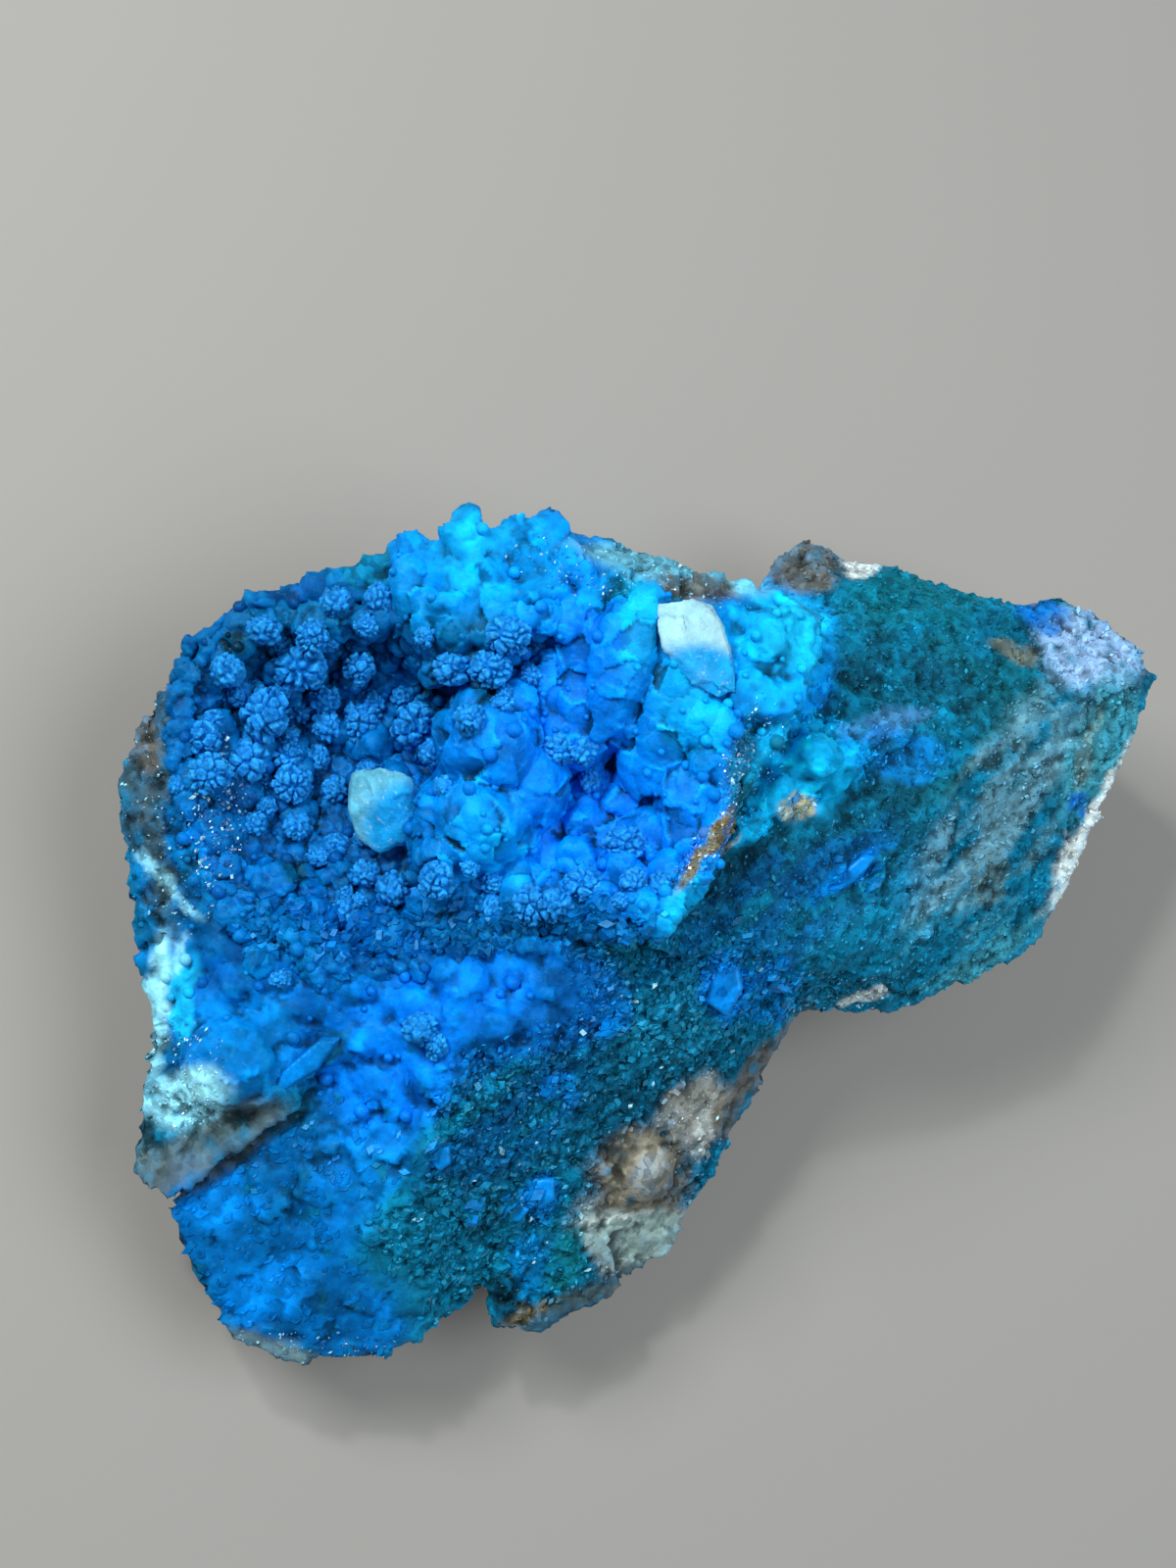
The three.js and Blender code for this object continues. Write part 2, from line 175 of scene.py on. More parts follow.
def added(name, data):
    """A new object in the scene."""
    made = bpy.data.objects.new(name, data)
    bpy.context.scene.collection.objects.link(made)
    return made


def object_of(name, vertices, faces, smooth=True):
    """A new object from vertices in millimetres, and triangles or quads."""
    faces = np.asarray(faces, dtype=np.int32)
    mesh = bpy.data.meshes.new(name)
    mesh.vertices.add(len(vertices))
    mesh.vertices.foreach_set("co", (np.asarray(vertices) * MM).astype(np.float32).ravel())
    mesh.loops.add(faces.size)
    mesh.loops.foreach_set("vertex_index", faces.ravel())
    mesh.polygons.add(len(faces))
    mesh.polygons.foreach_set("loop_start", np.arange(0, faces.size, faces.shape[1], dtype=np.int32))
    mesh.polygons.foreach_set("use_smooth", np.full(len(faces), smooth))
    mesh.update(calc_edges=True)
    mesh.validate()
    return added(name, mesh)


def read(obj):
    """Vertices in millimetres, and vertex normals."""
    count = len(obj.data.vertices)
    points = np.empty(count * 3)
    normals = np.empty(count * 3)
    obj.data.vertices.foreach_get("co", points)
    obj.data.vertices.foreach_get("normal", normals)
    return points.reshape(-1, 3) / MM, normals.reshape(-1, 3)


def write(obj, points):
    """Moves the vertices, and keeps them inside the solids' box."""
    low, high = np.array(cad_low) / MM, np.array(cad_high) / MM
    kept = np.clip(points, low, high)
    obj.data.vertices.foreach_set("co", (kept * MM).astype(np.float32).ravel())
    obj.data.update()


BENEATH_TOP = 0.3  # millimetres


def beneath_top(points):
    """The points kept a little below the solids' top, which only the pale block reaches."""
    top = cad_high[2] / MM - BENEATH_TOP
    return np.column_stack([points[:, :2], np.minimum(points[:, 2], top)])


def triangles(obj):
    obj.data.calc_loop_triangles()
    corners = np.empty(len(obj.data.loop_triangles) * 3, dtype=np.int32)
    obj.data.loop_triangles.foreach_get("vertices", corners)
    return corners.reshape(-1, 3)


def arrays_of(shape):
    """Vertices and triangles of a bmesh, which is freed."""
    vertices = np.array([v.co[:] for v in shape.verts])
    faces = np.array([[v.index for v in f.verts] for f in shape.faces])
    shape.free()
    return vertices, faces


def unit_ball(detail):
    """Vertices and triangles of a ball of radius 1."""
    shape = bmesh.new()
    bmesh.ops.create_icosphere(shape, subdivisions=detail, radius=1.0)
    return arrays_of(shape)


def joined(parts):
    """One vertex array and one triangle array from many."""
    starts = np.cumsum([0] + [len(v) for v, _ in parts[:-1]])
    return np.concatenate([v for v, _ in parts]), np.concatenate([f + s for (_, f), s in zip(parts, starts)])


def remeshed(name, parts, voxel):
    """The outer skin of overlapping closed shapes, as even small quads."""
    rough = object_of(name + "_rough", *joined(parts))
    modifier = rough.modifiers.new("skin", "REMESH")
    modifier.mode = "VOXEL"
    modifier.voxel_size = voxel * MM
    modifier.use_smooth_shade = True
    return baked(rough, name)


def baked(obj, name):
    """The object with its modifiers carried out, under a new name."""
    mesh = bpy.data.meshes.new_from_object(obj.evaluated_get(bpy.context.evaluated_depsgraph_get()))
    bpy.data.objects.remove(obj)
    mesh.name = name
    return added(name, mesh)


def thinned(obj, plain, faces):
    """The skin with larger faces at its plain vertices, so that about `faces` triangles are left in all."""
    name = obj.name
    obj.name = name + "_dense"
    group = obj.vertex_groups.new(name="plain")
    group.add(np.flatnonzero(plain).tolist(), 1.0, "REPLACE")
    modifier = obj.modifiers.new("thin", "DECIMATE")
    modifier.ratio = min(1.0, faces / len(triangles(obj)))
    modifier.vertex_group = group.name
    return baked(obj, name)


def hidden_by(node, points, reach):
    """Which points lie within reach of a node, and so behind or under it."""
    surface = surface_of(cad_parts[node])
    return np.array([surface.find_nearest(Vector(point), reach)[0] is not None for point in points])


def node_part(node):
    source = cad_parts[node]
    return read(source)[0], triangles(source)


def surface_of(*objects):
    """A search tree over the objects' faces, in millimetres."""
    vertices, faces = joined([(read(o)[0], triangles(o)) for o in objects])
    return BVHTree.FromPolygons(vertices.tolist(), faces.tolist())


def meets(surface, right, up):
    """Where the sight line through (right, up) meets the surface, and the normal there."""
    aim = VIEW_TARGET + right * VIEW_RIGHT + up * VIEW_UP - EYE
    place, normal, _, _ = surface.ray_cast(Vector(EYE), Vector(aim).normalized())
    return (np.array(place), np.array(normal)) if place else (None, None)


def unit(vectors):
    """The vectors at length 1."""
    return vectors / np.maximum(np.linalg.norm(vectors, axis=-1, keepdims=True), 1e-12)


def random_turn():
    """A turn matrix drawn evenly from all turns."""
    q, r = np.linalg.qr(rng.normal(size=(3, 3)))
    q = q * np.sign(np.diag(r))
    q[:, 0] *= np.sign(np.linalg.det(q))
    return q


def scattered(obj, count, weigh):
    """Random points on the object's faces, and the normals there, as dense on each face as `weigh` says."""
    corners = read(obj)[0][triangles(obj)]
    cross = np.cross(corners[:, 1] - corners[:, 0], corners[:, 2] - corners[:, 0])
    normals = unit(cross)
    weights = np.linalg.norm(cross, axis=1) * weigh(corners.mean(axis=1), normals)
    chosen = rng.choice(len(corners), count, p=weights / weights.sum())
    a, b = rng.random((2, count, 1))
    over = a + b > 1
    a, b = np.where(over, 1 - a, a), np.where(over, 1 - b, b)
    first, second, third = np.moveaxis(corners[chosen], 1, 0)
    return first + a * (second - first) + b * (third - first), normals[chosen]


def growing_in(zones, facing, avoided=()):
    """For `scattered`: even inside the zones and outside the avoided ones, where a face turns to the view."""

    def weigh(places, normals):
        spots = in_view(places)
        weight = cover(spots, zones) * (normals @ VIEW_BACK > facing)
        return weight * (1 - cover(spots, avoided)) if avoided else weight

    return weigh


def spread_out(points, radii, spacing):
    """The indices of points that keep `spacing` of their joint radii from every point kept before them."""
    kept = []
    for i, point in enumerate(points):
        near = np.linalg.norm(points[kept] - point, axis=1) < spacing * (radii[kept] + radii[i])
        if not near.any():
            kept.append(i)
    return kept


# Botryoids that the solids have too: [right, up, radius, how many times taller than wide]
SOLID_ROCK_BALLS = [
    [-18.2, 23.2, 2.3, 1.5], [-13.8, 17.8, 2.6], [-12.2, 24.6, 2.8], [-12.4, 27, 1.8], [-7.8, 25.6, 2],
    [-4, 26, 2.5], [-6.2, 22.8, 2.3], [-1.2, 22.4, 2.2], [-17, 19.6, 1.6, 2], [11.4, 14.6, 3.4],
    [17.6, 14.2, 3.4], [16.6, 8.8, 3.2], [22.4, 2.6, 3.2], [18.6, -0.4, 2.4], [26, 1.6, 2.4],
    [-32.2, -24.6, 2.2], [-36, -27, 3.6], [-14.6, -29.6, 3.4], [-13.4, -20, 3], [-20.6, -16, 2.8],
]
SOLID_CRUST_BALLS = [
    [-10, 4.2, 5.2], [-11, -3.6, 5], [-6, 0.2, 3.6], [-4, 10.4, 2, 1.7], [-14.6, -7, 2.6],
    [0, 17, 2.6, 1.8], [3.8, 13.6, 3.6, 1.4], [3, 7.6, 3.6], [8, 9.2, 3.8], [8, 3.6, 3.8], [10.2, -1, 3.2],
    [6, -5.6, 3], [3.6, -9.4, 2.6], [-39.9, 0.5, 1.9], [-33.4, -10.6, 2.6], [-30, -15.4, 2],
    [-26.3, -18.6, 2.8], [-21.9, 3.7, 2.4],
]
# Botryoids between them
ROCK_BALLS = [
    [-10.6, 21.6, 2.4], [-9.6, 18.8, 1.8], [-14.6, 21.4, 2.2], [-3.6, 20.2, 1.7], [-8.4, 16.6, 1.6],
    [-10.3, 26.8, 1.1], [-14.2, 25.6, 1.2], [-6, 26, 1.2], [-2.2, 24.2, 1.4], [21.6, 16, 2.2],
    [21.4, 12.4, 2.2], [19.6, 16.6, 1.8], [14.2, 17, 2], [19.4, 8.6, 2], [20.6, 6, 1.8], [22.4, 14.6, 1.5],
    [24.4, 4.6, 1.8], [20.6, 4, 2], [16.8, -2.6, 1.8], [27.4, 3.4, 1.2], [22.2, -0.4, 1.6],
    [14.8, -5.8, 1.5], [13, -9.6, 1.5], [-26.4, -22.4, 2.4], [-30.2, -28.6, 3], [-23.6, -26.4, 2.2],
    [-18, -22.4, 2.4], [-9.4, -24.6, 2.4], [-21, -30.6, 2.6], [-10.6, -31, 2.2], [-16.4, -34.4, 2.2],
    [-40.8, -22.6, 2], [-38, -22, 2.4], [-34.4, -21, 1.9], [-40, -30.6, 2.2], [-33.6, -31.4, 2.4],
    [-6.4, -27.6, 1.7], [-26.6, -27.4, 2], [-9.3, 23.6, 1.9], [-12.4, 19.9, 1.9], [-43.2, -17, 1.8],
    [-44.4, -12.4, 1.5], [-42, -20, 1.6], [-37.4, -17.4, 1.6], [-4, -21.4, 1.6], [-9.4, -16, 1.4],
    [-6, -16.6, 1.6], [-2.6, -17, 1.6], [0.8, -16.4, 1.5], [3.8, -15.8, 1.4],
]
# Broad smooth swellings below the hollow, and the blue lump outside it that stands well clear of the druse
BROAD_DOMES = [[-36.6, -28.8, 5.6], [-30.6, -23.4, 4.4], [-14, -24.6, 4.6], [5.2, -39.4, 4.2]]
OUTER_LUMP = [
    [22.8, 3, 2.9], [20.2, 1.8, 2.7], [26.2, 2.8, 2.4], [18, -2, 2.4], [16.2, -4.4, 2], [24.6, 0.6, 2.2],
    [22, 5.2, 2.1], [25, 5, 1.9], [19.4, 4, 1.8], [21.8, 0, 2], [19.4, -0.4, 2],
]
CRUST_BALLS = [
    [-18.2, 20.4, 1.8, 1.6], [-13.6, 15.6, 2.2], [-10.4, 15.4, 1.6], [-16.2, 17.4, 1.7, 1.7],
    [-7.2, 15.8, 1.5], [-4.6, 17.6, 1.6], [-7.6, 8.4, 2.6], [-9.6, -8.4, 2.6], [-5.6, -5.2, 2.6],
    [-13.4, 0.6, 2.4], [-2.4, 5.4, 2.2], [-6.4, -9.4, 1.8], [0.2, 12.2, 2.2, 1.6], [6.6, 17.2, 2.2, 1.3],
    [11.8, 6.4, 3], [4.8, 0.4, 2.2], [12.6, 2.4, 2.4], [10, -5.6, 2.2], [8.4, -9.2, 2], [5.6, -12.6, 2],
    [1.4, -12.2, 1.8], [13.2, 10.6, 2.6], [-1.2, 8.4, 1.8, 1.5], [-36.4, -13, 1.8], [-22.8, -15, 1.8],
    [-17, -13.8, 2], [-33.4, -18, 1.8], [-24.4, 8, 1.5], [-36.8, -4.6, 1.7],
]
# Large flat leaves up the hollow's east wall: [right, up, half width, half length, half thickness, turn]
CRUST_LEAVES = [
    [2.6, 11.4, 2.4, 6, 1.2, 6], [4.8, 12.8, 1.9, 4.8, 1.3, 16], [1.2, 8.6, 1.8, 4.4, 1.2, -4],
    [8.8, 7.4, 3.2, 6.4, 1.3, 14], [-0.8, 15, 2.2, 5, 1.4, 4], [12.8, 3.6, 2.4, 5, 1.4, 22],
    [5.8, 16.6, 2, 4, 1.2, 12], [5.6, 2.6, 2.4, 4.4, 1.4, 8], [10.6, -2.4, 2.2, 4, 1.3, 30],
    [0.2, 6.6, 1.9, 4, 1.3, -8],
]
# How far a shape's middle sits under the surface that carries it, as a share of its radius or thickness
SINK = 0.3
SINK_ON_SOLID_BALL = 0.96  # a ball that repeats one of the solids' fits round it
SINK_OF_LUMP = -0.2
SINK_OF_DOME = 0.62
SINK_OF_LEAF = 0.1

# What covers the places between the listed ones: a radius, the share of it that is left as thickness,
# and the ellipse of the view that it holds in
ROCK_FILL = [
    [1.8, 0.7, [-25, -20, 20, 7]], [1.1, 0.9, [-42, -14, 4, 9]], [1.6, 0.6, [-18, -29, 8, 9, 60]],
    [1.3, 0.8, [-11, -23, 8, 6]], [0.8, 1, [-9, 21, 8, 7]], [1.8, 0.7, [17, 12, 7, 8]],
    [0.9, 1, [-33, 13, 16, 11]],
]
CRUST_FILL = [
    [1.3, 0.6, [-30, 6, 20, 18]], [2, 0.6, [-9, 0, 9, 11]], [1.5, 0.45, [5, 8, 13, 14]],
    [1.2, 0.7, [6, -8, 9, 7]], [1.2, 0.9, [-25, -15, 20, 6]], [1.2, 0.6, [-6, -15, 14, 3.4]],
    [1.1, 0.8, [-12, 17, 8, 7]],
]
ROCK_TRIES = 1500
CRUST_TRIES = 4000
FILL_SPACING = 0.74
FILL_SIZES = [0.6, 1.35]  # smallest and largest, as a share of the radius given
FILL_TURNS = [12, 22]  # mean and spread of the leaves' turns, degrees
DOME_ZONES = [[-37, -28, 3.4, 3.4]]
LEAF_ZONES = [
    [right, up, width * 0.8, length * 0.8, -turn] for right, up, width, length, _, turn in CRUST_LEAVES
]


def ball_shape(centre, reach, detail=3):
    vertices, faces = unit_ball(detail)
    return centre + (vertices * reach) @ np.stack([VIEW_RIGHT, VIEW_UP, VIEW_BACK]), faces


def listed_balls(entries, surface, sink):
    """Shapes for listed botryoids, each where its sight line meets the surface."""
    parts = []
    for right, up, radius, *taller in entries:
        place, _ = meets(surface, right, up)
        if place is not None:
            reach = radius * np.array([1, *(taller or [1]), 1])
            parts.append(ball_shape(place - VIEW_BACK * radius * sink, reach))
    return parts


def leaf_shape(centre, normal, width, length, thickness, turn, detail=3):
    """A flattened ball that lies on the surface, longest along the view's up turned by `turn` degrees."""
    way = VIEW_UP * math.cos(math.radians(turn)) + VIEW_RIGHT * math.sin(math.radians(turn))
    along = unit(way - normal * (way @ normal))
    vertices, faces = unit_ball(detail)
    axes = np.stack([np.cross(along, normal), along, normal])
    return centre + (vertices * [width, length, thickness]) @ axes, faces


def listed_leaves(entries, surface):
    """Shapes for listed leaves, each turned halfway from the surface to the view."""
    parts = []
    for right, up, width, length, thickness, turn in entries:
        place, normal = meets(surface, right, up)
        if place is not None:
            facing = unit(normal + VIEW_BACK)
            centre = place - facing * thickness * SINK_OF_LEAF
            parts.append(leaf_shape(centre, facing, width, length, thickness, turn))
    return parts


def fill_size(fill, spots):
    """The radius and the thickness share of what covers each spot."""
    size = np.zeros((2, len(spots)))
    for radius, share, ellipse in fill:
        size = np.where(zone(spots, *ellipse) > 0.5, [[radius], [share]], size)
    return size


def filling(node, fill, avoided, tries):
    """Shapes for the botryoids and leaves that cover a node between the listed ones."""
    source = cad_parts[node]

    def weigh(places, normals):
        spots = in_view(places)
        return (fill_size(fill, spots)[0] > 0) * (1 - cover(spots, avoided)) * (normals @ VIEW_BACK > -0.2)

    places, normals = scattered(source, tries, weigh)
    radii, shares = fill_size(fill, in_view(places))
    radii = radii * rng.uniform(*FILL_SIZES, tries)
    turns = rng.normal(*FILL_TURNS, tries)
    kept = spread_out(places, radii, FILL_SPACING)
    return [
        leaf_shape(
            places[i] - normals[i] * radii[i] * SINK * shares[i], normals[i],
            radii[i], radii[i] * (2 - shares[i]), radii[i] * shares[i], turns[i], 2,
        )
        for i in kept
    ]


# Colours


def srgb(red, green, blue):
    """Linear colour from 0 to 255 values."""
    levels = np.array([red, green, blue]) / 255
    return np.where(levels <= 0.04045, levels / 12.92, ((levels + 0.055) / 1.055) ** 2.4)


TEAL = srgb(5, 114, 150)
DEEP_TEAL = srgb(6, 70, 98)
SEA = srgb(12, 96, 112)
GREY_TEAL = srgb(98, 148, 166)
LIGHT_TEAL = srgb(66, 152, 170)
AZURE = srgb(0, 134, 232)
BRIGHT = srgb(6, 178, 250)
CYAN = srgb(20, 190, 240)
# the outer lump's own bright azure, painted paler still to make up for the rim's shade: partly painted light
LUMP_BLUE = srgb(8, 190, 255)
ROYAL = srgb(0, 119, 228)
DEEP = srgb(0, 66, 130)
DUSK = srgb(0, 88, 168)
SHEET = srgb(0, 95, 166)
GREEN = srgb(8, 108, 122)
PALE = srgb(148, 228, 250)
LAVENDER = srgb(148, 186, 228)
HOST = srgb(86, 98, 92)
MATRIX = srgb(156, 156, 144)
BROWN = srgb(98, 90, 74)
OCHRE = srgb(124, 110, 64)
GREY = srgb(112, 138, 138)
WHITE = srgb(210, 224, 222)
SLATE = srgb(58, 76, 80)
# a pale colour painted on some crystals as glints: painted highlight
PAINTED_GLINT = srgb(150, 214, 236)
# near black, painted as shade in holes of the lining and in the foot's notch
PAINTED_NOOK_SHADE = srgb(2, 22, 30)
PATCH_BLUE = srgb(0, 122, 206)
WEST_BLUE = srgb(2, 100, 168)
NOTCH_BLUE = srgb(0, 110, 172)
STREAK_BLUE = srgb(70, 134, 190)
SPOT_BLUE = srgb(10, 104, 196)
BAND_BLUE = srgb(24, 132, 184)
UPPER_SEA = srgb(16, 124, 160)
RIDGE = srgb(96, 168, 190)
NODULE = srgb(150, 146, 126)
CHALK = srgb(150, 182, 178)
LIGHT_STONE = srgb(110, 130, 122)
DARK_STONE = srgb(84, 108, 104)
CREAM = srgb(206, 200, 150)
PETAL_BLUE = srgb(48, 170, 242)
CRYSTAL_BLUE = srgb(40, 160, 206)
BLOCK_BLUE = srgb(92, 176, 204)
BLOCK_WHITE = srgb(158, 210, 224)
BLOCK_FOOT = srgb(16, 156, 226)
ROCK_FLECK = srgb(40, 140, 170)
DRUSE_FLECK = srgb(60, 160, 190)
FLOOR_GREY = srgb(150, 150, 146)

# Painted in order over the outside: a colour, how much of it, and ellipses of the view
OUTSIDE_ZONES = [
    [DUSK, 1.0, [-24, -20, 24, 10], [-10, -20, 13, 7, -10], [-34, 12, 16, 12]],
    [ROYAL, 1.0, [-20, -28, 11, 6.5, 60], [-13, -21, 7, 5]],
    [SHEET, 1.0, [-32, -46, 13, 8.6, 60], [-38, -46, 9, 7, -60], [-28, -53, 10, 5, -16]],
    [PATCH_BLUE, 1.0, [-36, -27, 7, 6]],
    [AZURE, 1.0, [17, 12, 8, 9], [-8, 21.5, 10, 8]],
    [AZURE, 0.7, [-22.5, -39, 6, 3.4, 60], [-33, -52, 5, 3, 30], [-38, -42, 4, 3]],
    [BRIGHT, 0.4, [-10, 23.5, 8, 5]],
    [BRIGHT, 0.8, [19, 14, 6, 6]],
    [AZURE, 0.9, [-18.6, 22, 1.8, 5]],
    [DEEP, 1.0, [-34, 14, 10, 6, 34]],
    [CYAN, 0.6, [-41.5, -21, 1.6, 5], [21, 15, 3, 4], [5, 17, 2, 4]],
    [CYAN, 0.3, [-12, 25.6, 4, 3]],
    [WEST_BLUE, 1.0, [-41, -5, 6, 12]],
    [SLATE, 0.9, [-44.6, 2, 2.8, 8, -14], [-44, -8, 1.4, 8, 6]],
    [BROWN, 0.8, [-45.6, 4.6, 2, 3]],
    [GREEN, 0.6, [16, 3.4, 1.8, 5.4, -14]],
    [GREEN, 0.7, [34, 19.5, 8, 3]],
    [PALE, 1.0, [-41.2, -32, 4.8, 3.2, 10], [-44.2, -23, 1.3, 7, -4]],
    [RIDGE, 0.9, [8, 22, 10, 1.6, -12]],
    [PALE, 0.6, [-43, -9.8, 0.7, 5.3, 43], [-42, -17, 0.6, 2.6, -10]],
    [HOST, 0.8, [-39.4, -37.6, 9.4, 2.7, 30], [-31, -60, 8, 1.6], [-46, -39, 2.4, 4]],
    [MATRIX, 0.8, [11, -33.4, 4.2, 3, 50], [6, -46.4, 7, 4.6, -20]],
    [BROWN, 0.85, [10.4, 20.2, 4, 1.2, -10], [21.4, 22.6, 5, 2.6]],
    [BROWN, 0.85, [17, -30, 9, 1.6, 52], [5.4, -39.6, 5, 4.8]],
    [NODULE, 0.9, [5.4, -39.4, 3.4, 3.6]],
    [CHALK, 0.85, [5.6, -46.4, 6, 3, -8]],
    [SLATE, 1.0, [0, -53.6, 9, 2.6, 28]],
    [GREY, 0.8, [-32.6, -58.2, 5, 1.8, -25]],
    [OCHRE, 0.9, [11.5, -7, 5, 0.9, 52], [4.2, -51, 2.2, 0.9, 24], [-7, -54.2, 2.6, 1.3, 10]],
    [OCHRE, 0.6, [43.4, 13.6, 2.6, 1, -16]],
    [NOTCH_BLUE, 0.95, [-5.4, -49.2, 2.6, 3.6]],
    [GREEN, 0.9, [-2.2, -48.6, 1.6, 3.6, -20]],
    [LUMP_BLUE, 1.0, [22.6, 2.2, 5.8, 4.8, 10], [17.6, -3, 2.4, 3.8, -34], [9.4, -11.6, 1.7, 4.4, -36]],
    [STREAK_BLUE, 0.7, [30, 6, 5, 1.6, 14]],
    [AZURE, 0.5, [31, 3, 6, 2.6, -6]],
    [AZURE, 0.8, [27, -9, 5, 0.9, 38], [13.8, -20.6, 2, 3.6, -6]],
    [AZURE, 0.5, [-5, -42.4, 2.2, 2.2], [18, -21, 4, 3, 20], [2, -24, 2.4, 1.4, 40], [-3, -31, 2, 2]],
    [LAVENDER, 0.9, [51.5, 14, 5.6, 4, -20]],
    [LIGHT_TEAL, 0.8, [52.4, 4, 3, 8, -24]],
    [LIGHT_STONE, 0.6, [51, 4, 0.6, 5, -12]],
    [DARK_STONE, 0.7, [41, -9.8, 1.7, 3, -10]],
    [SPOT_BLUE, 0.85, [46.6, 17.2, 2.8, 1.8, -20], [50, -2.4, 1, 1]],
    [WHITE, 0.9, [51.6, -4, 1.2, 9.6, -28], [28, 22, 1.5, 1], [28, -22, 2.4, 0.7, 16]],
    [CREAM, 0.95, [21.4, -2.2, 2.2, 1.2, 24]],
    [WHITE, 0.6, [11.8, -36, 1, 2.6, -14], [3.4, -44.2, 3, 0.5, 14]],
    [WHITE, 0.6, [14, -6.8, 2.8, 0.3, 44], [-36, -58, 4, 0.8, -20]],
    # painted shade in the foot's notch
    [PAINTED_NOOK_SHADE, 1.0, [-8.6, -52.2, 1.9, 2.6]],
    [DEEP_TEAL, 0.9, [-26.4, -27, 1.3, 2.8, -45]],
]
HOLLOW_ZONES = [
    [AZURE, 1.0, [-20, 0, 40, 30]],
    # partly painted shade: the north-west floor, turned from the light, made darker
    [DEEP, 1.0, [-30, 10, 18, 13], [-12, 12, 8, 5]],
    [DUSK, 1.0, [-33, 2, 11, 9], [-26, -12, 18, 9], [-12, -15, 16, 5], [-20, 6, 6, 6]],
    [ROYAL, 1.0, [-5, 3, 11, 10], [5, -5, 6, 9], [2, 13, 5, 9]],
    [AZURE, 1.0, [-12, -5, 6, 7], [9, 9, 6, 10]],
    [BRIGHT, 0.3, [-10.6, -7, 5, 4], [-13, 19.5, 7, 5]],
    # partly painted light: the east wall, which faces the light, made paler
    [BRIGHT, 0.7, [11, 10, 4, 8], [5.4, 17, 2.4, 5]],
    [DEEP, 0.4, [-33, 2, 9, 8]],
    [BRIGHT, 0.15, [-34, -17, 7, 4]],
    [BRIGHT, 0.4, [8, -12, 3, 4, -30]],
    # partly painted shade in the recesses by the lower rim
    [DEEP, 0.5, [-22, -6, 10, 6], [-4, -16, 12, 2.4]],
    [GREEN, 0.16, [-12, 9, 6, 5], [-8, -14, 12, 3], [-31, 15, 8, 3, 30]],
    [GREEN, 0.7, [16.4, 3, 1.8, 6, -14]],
    [BRIGHT, 0.9, [9.4, -11.6, 1.6, 4, -36]],
    [OCHRE, 1.0, [12, -6.6, 5, 1.0, 52]],
    # painted shade in the holes of the lining
    [PAINTED_NOOK_SHADE, 0.85, [-10.5, 9.7, 1.5, 1.3], [-15.7, 9.4, 1, 0.8], [-30, -8.8, 1.5, 1.3], [-36.3, 14, 1.6, 1.3]],
]
# The streaked far side of the druse: a colour, how much of it, and the ellipses that its streaks keep to
STREAKED_ZONES = [
    [SEA, 0.6, [34, 0, 26, 20, -14]],
    [SEA, 0.8, [32, 7, 20, 9, -14], [24, -4, 13, 8, 36]],
    [DEEP_TEAL, 0.8, [28, 10, 12, 6, -14], [22, -6, 14, 8, 36]],
    [DEEP_TEAL, 1.0, [20, -6, 10, 5, 36]],
    [BAND_BLUE, 0.6, [32, -12, 13, 5, 40]],
    [LIGHT_TEAL, 0.7, [40, -15, 11, 4.6, 30]],
    [GREY_TEAL, 0.9, [42.5, -3, 5.4, 15, -30]],
    [DEEP_TEAL, 0.7, [0, -34, 20, 12, 40]],
    [DUSK, 0.4, [18, -14, 16, 5, 36], [-8, -30, 14, 7, 50]],
    [UPPER_SEA, 0.8, [9, -24, 6, 4, 40]],
]
EDGE_WANDER = 1.4  # how far a zone's edge wanders, millimetres

# The streaks run from lower left to upper right: this squeezes space along them
STREAK_ANGLE = math.radians(38)
STREAK_WAY = math.cos(STREAK_ANGLE) * VIEW_RIGHT + math.sin(STREAK_ANGLE) * VIEW_UP
STREAK_SQUEEZE = 0.86
STREAKS = np.eye(3) - STREAK_SQUEEZE * np.outer(STREAK_WAY, STREAK_WAY)

# Patches on the bare rock that faces away: a colour, how much of it, how wide they are in millimetres, the
# noise's channel, and the levels of the noise between which they begin
FAR_PATCHES = [
    [OCHRE * 0.8, 0.7, 5.0, 66, 0.15, 0.5],
    [TEAL, 0.8, 9.0, 70, 0.2, 0.5],
    [GREY * 1.3, 0.7, 4.0, 74, 0.35, 0.6],
]


def mixed(first, second, share):
    """The first colour turned into the second as far as the share says."""
    return first + (second - first) * share


def painted(colours, zones, spots, amount=1.0):
    """The colours with those of the zones laid over them in turn."""
    for colour, strength, *ellipses in zones:
        for ellipse in ellipses:
            share = zone(spots, *ellipse) * strength * amount
            colours = mixed(colours, colour, share[:, None])
    return colours


def wandering(points):
    """The points' places in the view, shaken so that no zone has a clean edge."""
    shake = [layered(points, 3.0, 3, 50 + k) for k in range(2)]
    return in_view(points) + EDGE_WANDER * np.stack(shake, axis=1)


